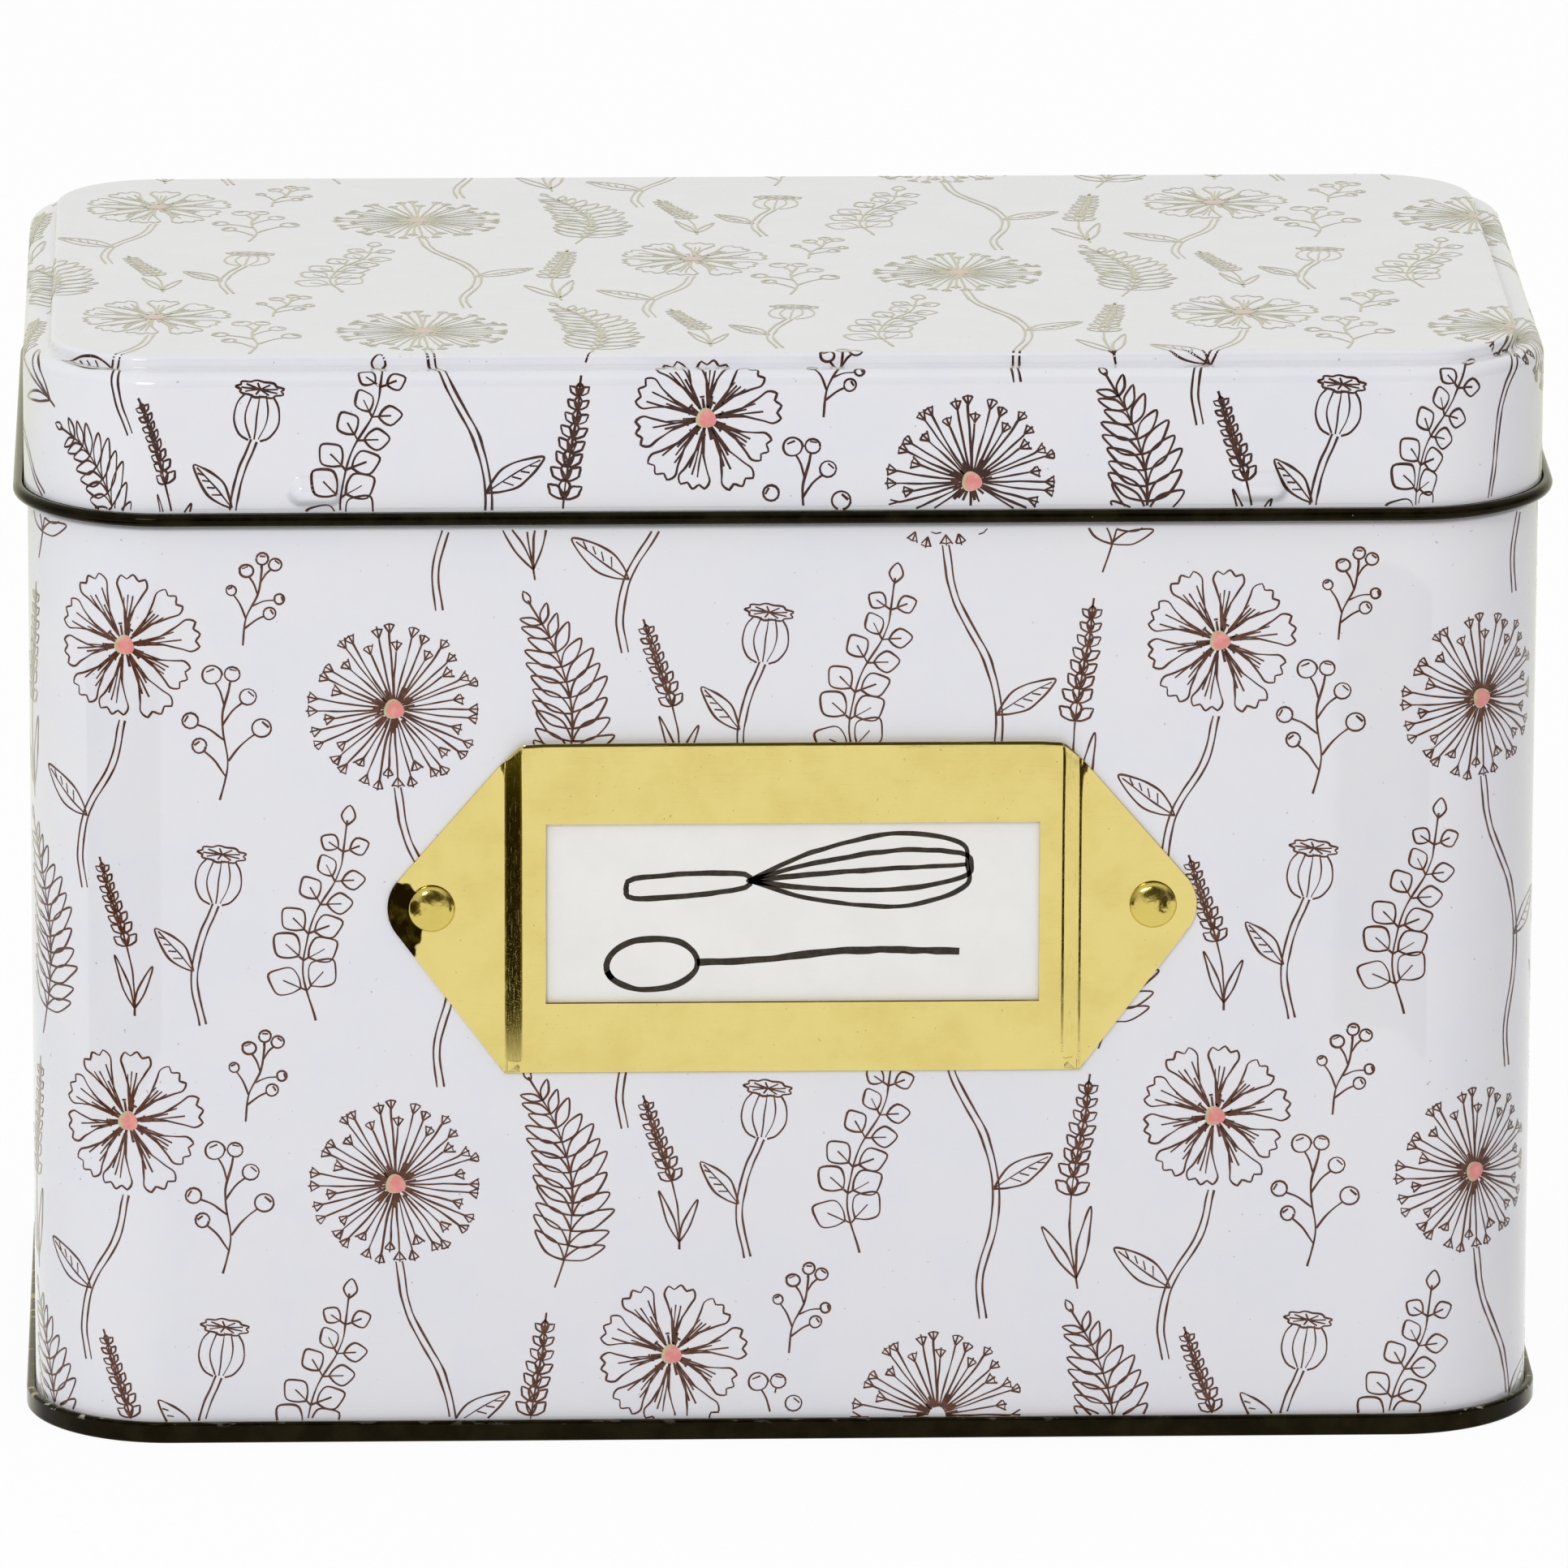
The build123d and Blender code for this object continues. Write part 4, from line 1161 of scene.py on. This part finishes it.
def painted_tip_reflection(s, colour):
    """The plate's colour, with a dark reflection painted onto the left wing's tip beside its rivet."""
    left_of = s.maths("SUBTRACT", FRAME_X - RIVET_X + 0.3, s.axis("X"))
    bearing = s.maths("ARCTAN2", s.maths("SUBTRACT", s.axis("Z"), RIVET_Z), left_of)
    bearing = s.maths("ADD", bearing, s.ramp(s.noise(2.4, 2.0), 0.2, 0.8, -0.16, 0.16))
    # Painted reflection: this mask places the dark crescent on the tip, and the colour below is painted
    # into it.
    stain = s.times(s.ramp(bearing, 0.66, 0.74, 1.0, 0.0), s.ramp(bearing, -1.16, -1.08))
    tip_reflection_colour = s.mix(s.ramp(s.noise(1.6, 3.0), 0.45, 0.7), (0.011, 0.006, 0.0008), (0.05, 0.036, 0.004))
    return s.mix(stain, colour, tip_reflection_colour)


def fold_streaks(s):
    """Upright streaks that the press leaves in the plate's folds."""
    out = s.maths("ABSOLUTE", s.maths("SUBTRACT", s.axis("X"), FRAME_X))
    fold = s.times(s.ramp(out, RAISED_HALF - 0.4, RAISED_HALF + 0.3),
                   s.ramp(out, FRAME_HALF - 0.6, FRAME_HALF, 1, 0))
    return s.times(fold, s.ramp(s.noise(0.11, 3.0, (1, 1, 0.06), 0.7), 0.50, 0.74))


def polished_brass(name, tints, gloss, plate=False, dented=0):
    """Polished brass with fine scratches, small specks and a faint bloom of tarnish."""
    s = Shading(name, Metallic=1.0)
    bloom = s.ramp(s.noise(7.0, 5.0, rough=0.6), 0.35, 0.75)
    specks = s.ramp(s.noise(0.42, 1.0), 0.765, 0.80)
    colour = s.mix(s.times(specks, 0.55), s.mix(bloom, *tints), (0.28, 0.20, 0.08))
    marks = s.maths("MAXIMUM", s.scratches(0.10, 24), s.scratches(0.13, -52, 0.66, 0.74))
    rough = s.maths("ADD", s.ramp(bloom, 0, 1, *gloss), s.times(marks, 0.12))
    if plate:
        # Painted reflection: a dark crescent painted onto the left wing's tip.
        colour = painted_tip_reflection(s, colour)
        rough = s.maths("ADD", rough, s.times(fold_streaks(s), 0.26))
    if dented:
        polish = s.bump(s.noise(1.3, 2.0), dented)
    else:
        polish = s.bump(s.maths("ADD", s.times(marks, -1.0), s.times(s.noise(11.0, 1.0), 3.0)), 0.0016)
    return s.done(Base_Color=colour, Roughness=rough, Normal=polish)


def white_card():
    """Smooth white card: short pale fibres and a soft tooth."""
    s = Shading("white_card", Specular_IOR_Level=0.3)
    fibres = s.noise(0.22, 4.0, (0.35, 1, 1), 0.65)
    cloud = s.ramp(s.noise(5.0, 3.0), 0.3, 0.7)
    colour = s.mix(cloud, (0.91, 0.895, 0.865), (0.94, 0.925, 0.895))
    colour = s.mix(s.ramp(fibres, 0.62, 0.8, 0.0, 0.25), colour, (0.70, 0.69, 0.66))
    return s.done(Base_Color=colour, Roughness=s.ramp(fibres, 0.3, 0.7, 0.7, 0.85),
                  Normal=s.bump(fibres, 0.012))


WHITE_COOL = (0.832, 0.834, 0.884)
WHITE_WARM = (0.856, 0.854, 0.884)
PLATE_BRASS = ((0.79, 0.655, 0.235), (0.73, 0.595, 0.195))   # bright, and dull with tarnish
RIVET_BRASS = ((0.72, 0.585, 0.155), (0.67, 0.53, 0.13))


# ---- Studio ----
def make_camera():
    yaw = Matrix.Rotation(math.radians(-CAMERA_YAW), 3, "Z")
    pitch, roll = math.radians(CAMERA_PITCH), math.radians(CAMERA_ROLL)
    ahead = Vector((0, math.cos(pitch), -math.sin(pitch)))
    level = Vector((1, 0, 0))
    upright = level.cross(ahead)
    right = level * math.cos(roll) + upright * math.sin(roll)
    up = upright * math.cos(roll) - level * math.sin(roll)
    at = Vector(CAMERA_TARGET) - ahead * CAMERA_DISTANCE
    turn = Matrix((yaw @ right, yaw @ up, yaw @ -ahead)).transposed()
    data = bpy.data.cameras.new("camera")
    data.sensor_width = 36
    data.lens = 36 * FOCAL_PIXELS / PICTURE_WIDTH
    data.clip_start, data.clip_end = 0.05, 20
    camera = bpy.data.objects.new("camera", data)
    camera.matrix_world = Matrix.LocRotScale(yaw @ at * MM, turn.to_quaternion(), None)
    bpy.context.scene.collection.objects.link(camera)
    bpy.context.scene.camera = camera


def make_world():
    """A room: cool white before the box, cream behind it, grey on its left, nearly black on its right.

    Those sides shade the box, and show in it. Only polished surfaces show a dark part where the camera
    stands, and the camera itself sees plain white.
    """
    world = bpy.data.worlds.new("studio")
    bpy.context.scene.world = world
    world.use_nodes = True
    world.node_tree.nodes.clear()
    s = Nodes(world.node_tree)
    direction = s.node("ShaderNodeTexCoord").outputs["Generated"]
    x, y, z = s.node("ShaderNodeSeparateXYZ", {0: direction}).outputs
    rear = s.mix(s.ramp(s.maths("ABSOLUTE", x), 0.2, 0.6, kind="LINEAR"), ROOM_BACK, ROOM_BACK_SIDES)
    tint = s.mix(s.ramp(y, -0.35, 0.75), ROOM_FRONT, rear)
    ahead = s.ramp(y, 0.2, 0.7, 1.0, 0.0, "LINEAR")
    tint = s.mix(s.times(s.ramp(x, 0.1, 0.85), ahead), tint, ROOM_RIGHT)
    tint = s.mix(s.times(s.ramp(x, -0.1, -0.85), ahead), tint, ROOM_LEFT)
    tint = s.mix(s.ramp(z, 0.3, 0.95, kind="LINEAR"), tint, ROOM_TOP)
    toward = s.node("ShaderNodeVectorMath", {0: direction, 1: DARK_TOWARD}, operation="DOT_PRODUCT")
    dark = s.ramp(toward.outputs["Value"], math.cos(math.radians(DARK_REACH)),
                  math.cos(math.radians(DARK_CORE)))
    path = s.node("ShaderNodeLightPath")
    lit = s.mix(s.times(dark, path.outputs["Is Glossy Ray"]), tint, ROOM_DARK)
    room = s.node("ShaderNodeBackground", {0: lit, 1: ROOM_STRENGTH})
    seen = s.node("ShaderNodeBackground", {0: (1, 1, 1), 1: 1.0})
    s.node("ShaderNodeOutputWorld", {0: s.mix_shaders(path.outputs["Is Camera Ray"], room, seen)})


def stage_object(name, corners, material):
    new_object(name, corners, [tuple(range(len(corners)))], material)


def make_floor():
    """A pale floor that the camera sees as nearly white, with the box's shadow left in it.

    Polished surfaces see it cream behind the box.
    """
    s = Shading("floor", Roughness=0.9, Specular_IOR_Level=0.0, Base_Color=(0.86, 0.86, 0.86, 1))
    path = s.node("ShaderNodeLightPath")
    behind = s.times(s.ramp(s.axis("Y"), 60, 400), path.outputs["Is Glossy Ray"])
    glow = s.node("ShaderNodeEmission", {"Color": s.mix(behind, (1.0, 1.0, 1.0), FLOOR_BEHIND)})
    shown = s.maths("MAXIMUM", path.outputs["Is Camera Ray"], path.outputs["Is Glossy Ray"])
    s.surface(s.mix_shaders(s.times(shown, FLOOR_GLOW), s.shader, glow))
    corners = [(x * FLOOR_REACH, y * FLOOR_REACH, 0) for x, y in ((-1, -1), (1, -1), (1, 1), (-1, 1))]
    stage_object("floor", corners, s.material)


def make_key_light():
    """A soft lamp in front and to the left, which rounds the corners and glints on the domes."""
    data = bpy.data.lights.new("key", "AREA")
    data.shape = "DISK"
    data.size = KEY_SIZE * MM
    data.energy = KEY_WATTS
    light = bpy.data.objects.new("key", data)
    at = Vector(KEY_PLACE) * MM
    light.matrix_world = Matrix.LocRotScale(at, (-at).to_track_quat("-Z", "Y"), None)
    bpy.context.scene.collection.objects.link(light)


def make_flag(name, first_deg, last_deg, edge_colour, colour):
    """A dark board in front of the label frame, which only polished surfaces show.

    It stands between two bearings, in degrees to the right of straight ahead of the frame's step,
    and is lighter at its inner edge, toward its foot and in streaks.
    """
    s = Shading(name)
    start_x = math.copysign(RAISED_HALF, first_deg) + FRAME_X
    ends = [(start_x + FLAG_DISTANCE * math.sin(a), -DEPTH / 2 - FLAG_DISTANCE * math.cos(a))
            for a in (math.radians(first_deg), math.radians(last_deg))]
    streaks = s.ramp(s.noise(9.0, 3.0, (1, 1, 0.2)), 0.4, 0.7)
    inner = s.ramp(s.axis("X"), ends[0][0], ends[0][0] + 0.5 * (ends[1][0] - ends[0][0]), 1.0, 0.0)
    foot = s.ramp(s.axis("Z"), *FLAG_FOOT, 1.0, 0.0)
    lighter = s.maths("MAXIMUM", s.maths("MAXIMUM", inner, foot), s.times(streaks, 0.22))
    dark = s.node("ShaderNodeEmission", {"Color": s.mix(lighter, colour, edge_colour)})
    clear = s.node("ShaderNodeBsdfTransparent")
    path = s.node("ShaderNodeLightPath")
    s.surface(s.mix_shaders(path.outputs["Is Glossy Ray"], clear, dark))
    low = FLAG_FOOT[0]
    corners = [(*ends[0], low), (*ends[1], low), (*ends[1], FLAG_TOP), (*ends[0], FLAG_TOP)]
    stage_object(name, corners, s.material)


ROOM_FRONT = (0.985, 0.985, 1.0)
ROOM_BACK = (0.78, 0.78, 0.73)
ROOM_BACK_SIDES = (0.80, 0.80, 0.66)
ROOM_LEFT = (0.50, 0.50, 0.50)
ROOM_RIGHT = (0.07, 0.05, 0.06)
ROOM_TOP = (0.78, 0.79, 0.80)
ROOM_DARK = (0.05, 0.042, 0.012)
ROOM_STRENGTH = 1.09
DARK_TOWARD = (0.05, -0.91, 0.41)      # where the camera's dark corner is, seen from the box
DARK_CORE = 16.0          # degrees out from there that are fully dark, and where the dark ends
DARK_REACH = 40.0
KEY_PLACE = (-330, -920, 690)
KEY_SIZE = 260
KEY_WATTS = 2.1
FLOOR_GLOW = 0.95
FLOOR_BEHIND = (0.80, 0.81, 0.66)
FLOOR_REACH = 3000
FLAG_FOOT = (16, 23)      # where the boards end below, and where they are fully dark
FLAG_TOP = 75
FLAG_DISTANCE = 120
FLAGS = (("flag_left", -26, -80, (0.17, 0.14, 0.03), (0.010, 0.007, 0.001)),
         ("flag_right", 19, 42, (0.12, 0.09, 0.03), (0.03, 0.02, 0.006)))
BODY_PRINT_SHIFT = (9.0, 17.0)
LID_PRINT_SHIFT = (6.0, 9.0)


# ---- Label card's drawing ----
def drawn_utensils():
    """A whisk over a spoon, head to tail, in a bold pen, about the middle of the window."""
    bold = 0.7
    ring = np.linspace(0.2, math.tau + 0.5, 35)
    bowl = [(15.0 + 5.2 * math.cos(a), 3.0 * math.sin(a)) for a in ring]
    spoon = [(smooth_line([(-20, 0.5), (-8, -0.3), (3, 0.2), (9.9, 0.1)]), bold * 1.2),
             (smooth_line(bowl), bold)]
    handle = [(-20, 0.2), (-19, 1.2), (-12, 1.3), (-6.4, 0.8), (-6.0, 0), (-6.4, -0.8), (-12, -1.2),
              (-19.2, -1.1), (-20, 0.2)]
    whisk = [(smooth_line(handle), bold * 0.9)]
    for half in (4.3, 2.3):
        loop = [(-6, 0), (1, half * 0.62), (11, half), (18.2, half * 0.62), (19.8 - half / 5, 0)]
        other = [(x, -y) for x, y in reversed(loop[:-1])]
        whisk.append((smooth_line(loop + other), bold * 0.8))
    whisk.append((smooth_line([(-6, 0), (6, 0.25), (18.8, 0)]), bold * 0.8))
    strokes = placed(whisk, 1.0, 4.0, 4) + placed(spoon, -1.0, -5.4, 183)
    return wavered(strokes, 21, 0.1)


def draw_on_card(ink):
    window_z = FRAME_FOOT_Z + (FRAME_HEIGHT + WINDOW_FOOT - WINDOW_HEAD) / 2
    points, faces = [], []
    for line, pen in drawn_utensils():
        half = (beside(line, 0.5) - line) * pen[:, None]
        start = len(points)
        for at in np.stack([line + half, line - half], axis=1).reshape(-1, 2):
            points.append((FRAME_X + at[0], CARD_FACE_Y - 0.015, window_z + at[1]))
        faces += [(a, a + 1, a + 3, a + 2) for a in range(start, len(points) - 2, 2)]
    ribbon_object("card_drawing", np.array(points), np.array(faces), ink, "card")


# ---- The scene ----
def dress(node, material):
    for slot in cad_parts[node].material_slots:
        slot.material = material


bpy.context.scene.view_settings.view_transform = "Standard"
make_camera()
make_world()
make_floor()
make_key_light()
for flag in FLAGS:
    make_flag(*flag)

white, black, tin = printed_white(), black_lacquer(), bare_tin()
make_wall(white, tin)
make_base(black, tin)
make_lid(white, tin)
make_rim(black, white)
make_label_frame(polished_brass("brass_plate", PLATE_BRASS, (0.07, 0.13), plate=True))
rivet_brass = polished_brass("brass_rivet", RIVET_BRASS, (0.155, 0.215), dented=0.09)
for side in (-1, 1):
    make_rivet(side, rivet_brass)
steel = hinge_steel()
for node in ("hinge_wire", "hinge_lug_left", "hinge_lug_right"):
    dress(node, steel)
dress("label_card", white_card())

strokes, centres = design_tile()
body_ink = print_ink("body_line_ink", (0.080, 0.024, 0.009), (0.150, 0.060, 0.032))
lid_ink = print_ink("lid_line_ink", (0.040, 0.011, 0.005), (0.085, 0.030, 0.016))
# The third colour of an ink is its painted reflection colour, shown where it is seen at a grazing angle.
pink_ink = print_ink("pink_ink", (0.80, 0.27, 0.25), (0.86, 0.38, 0.34), (0.72, 0.50, 0.40))
khaki_ink = print_ink("khaki_ink", (0.55, 0.47, 0.26), (0.64, 0.56, 0.34), (0.60, 0.55, 0.42))
print_body(strokes, centres, (body_ink, pink_ink, khaki_ink))
print_lid(strokes, centres, (lid_ink, pink_ink, khaki_ink))
draw_on_card(print_ink("marker_ink", (0.020, 0.012, 0.005), (0.045, 0.032, 0.018)))
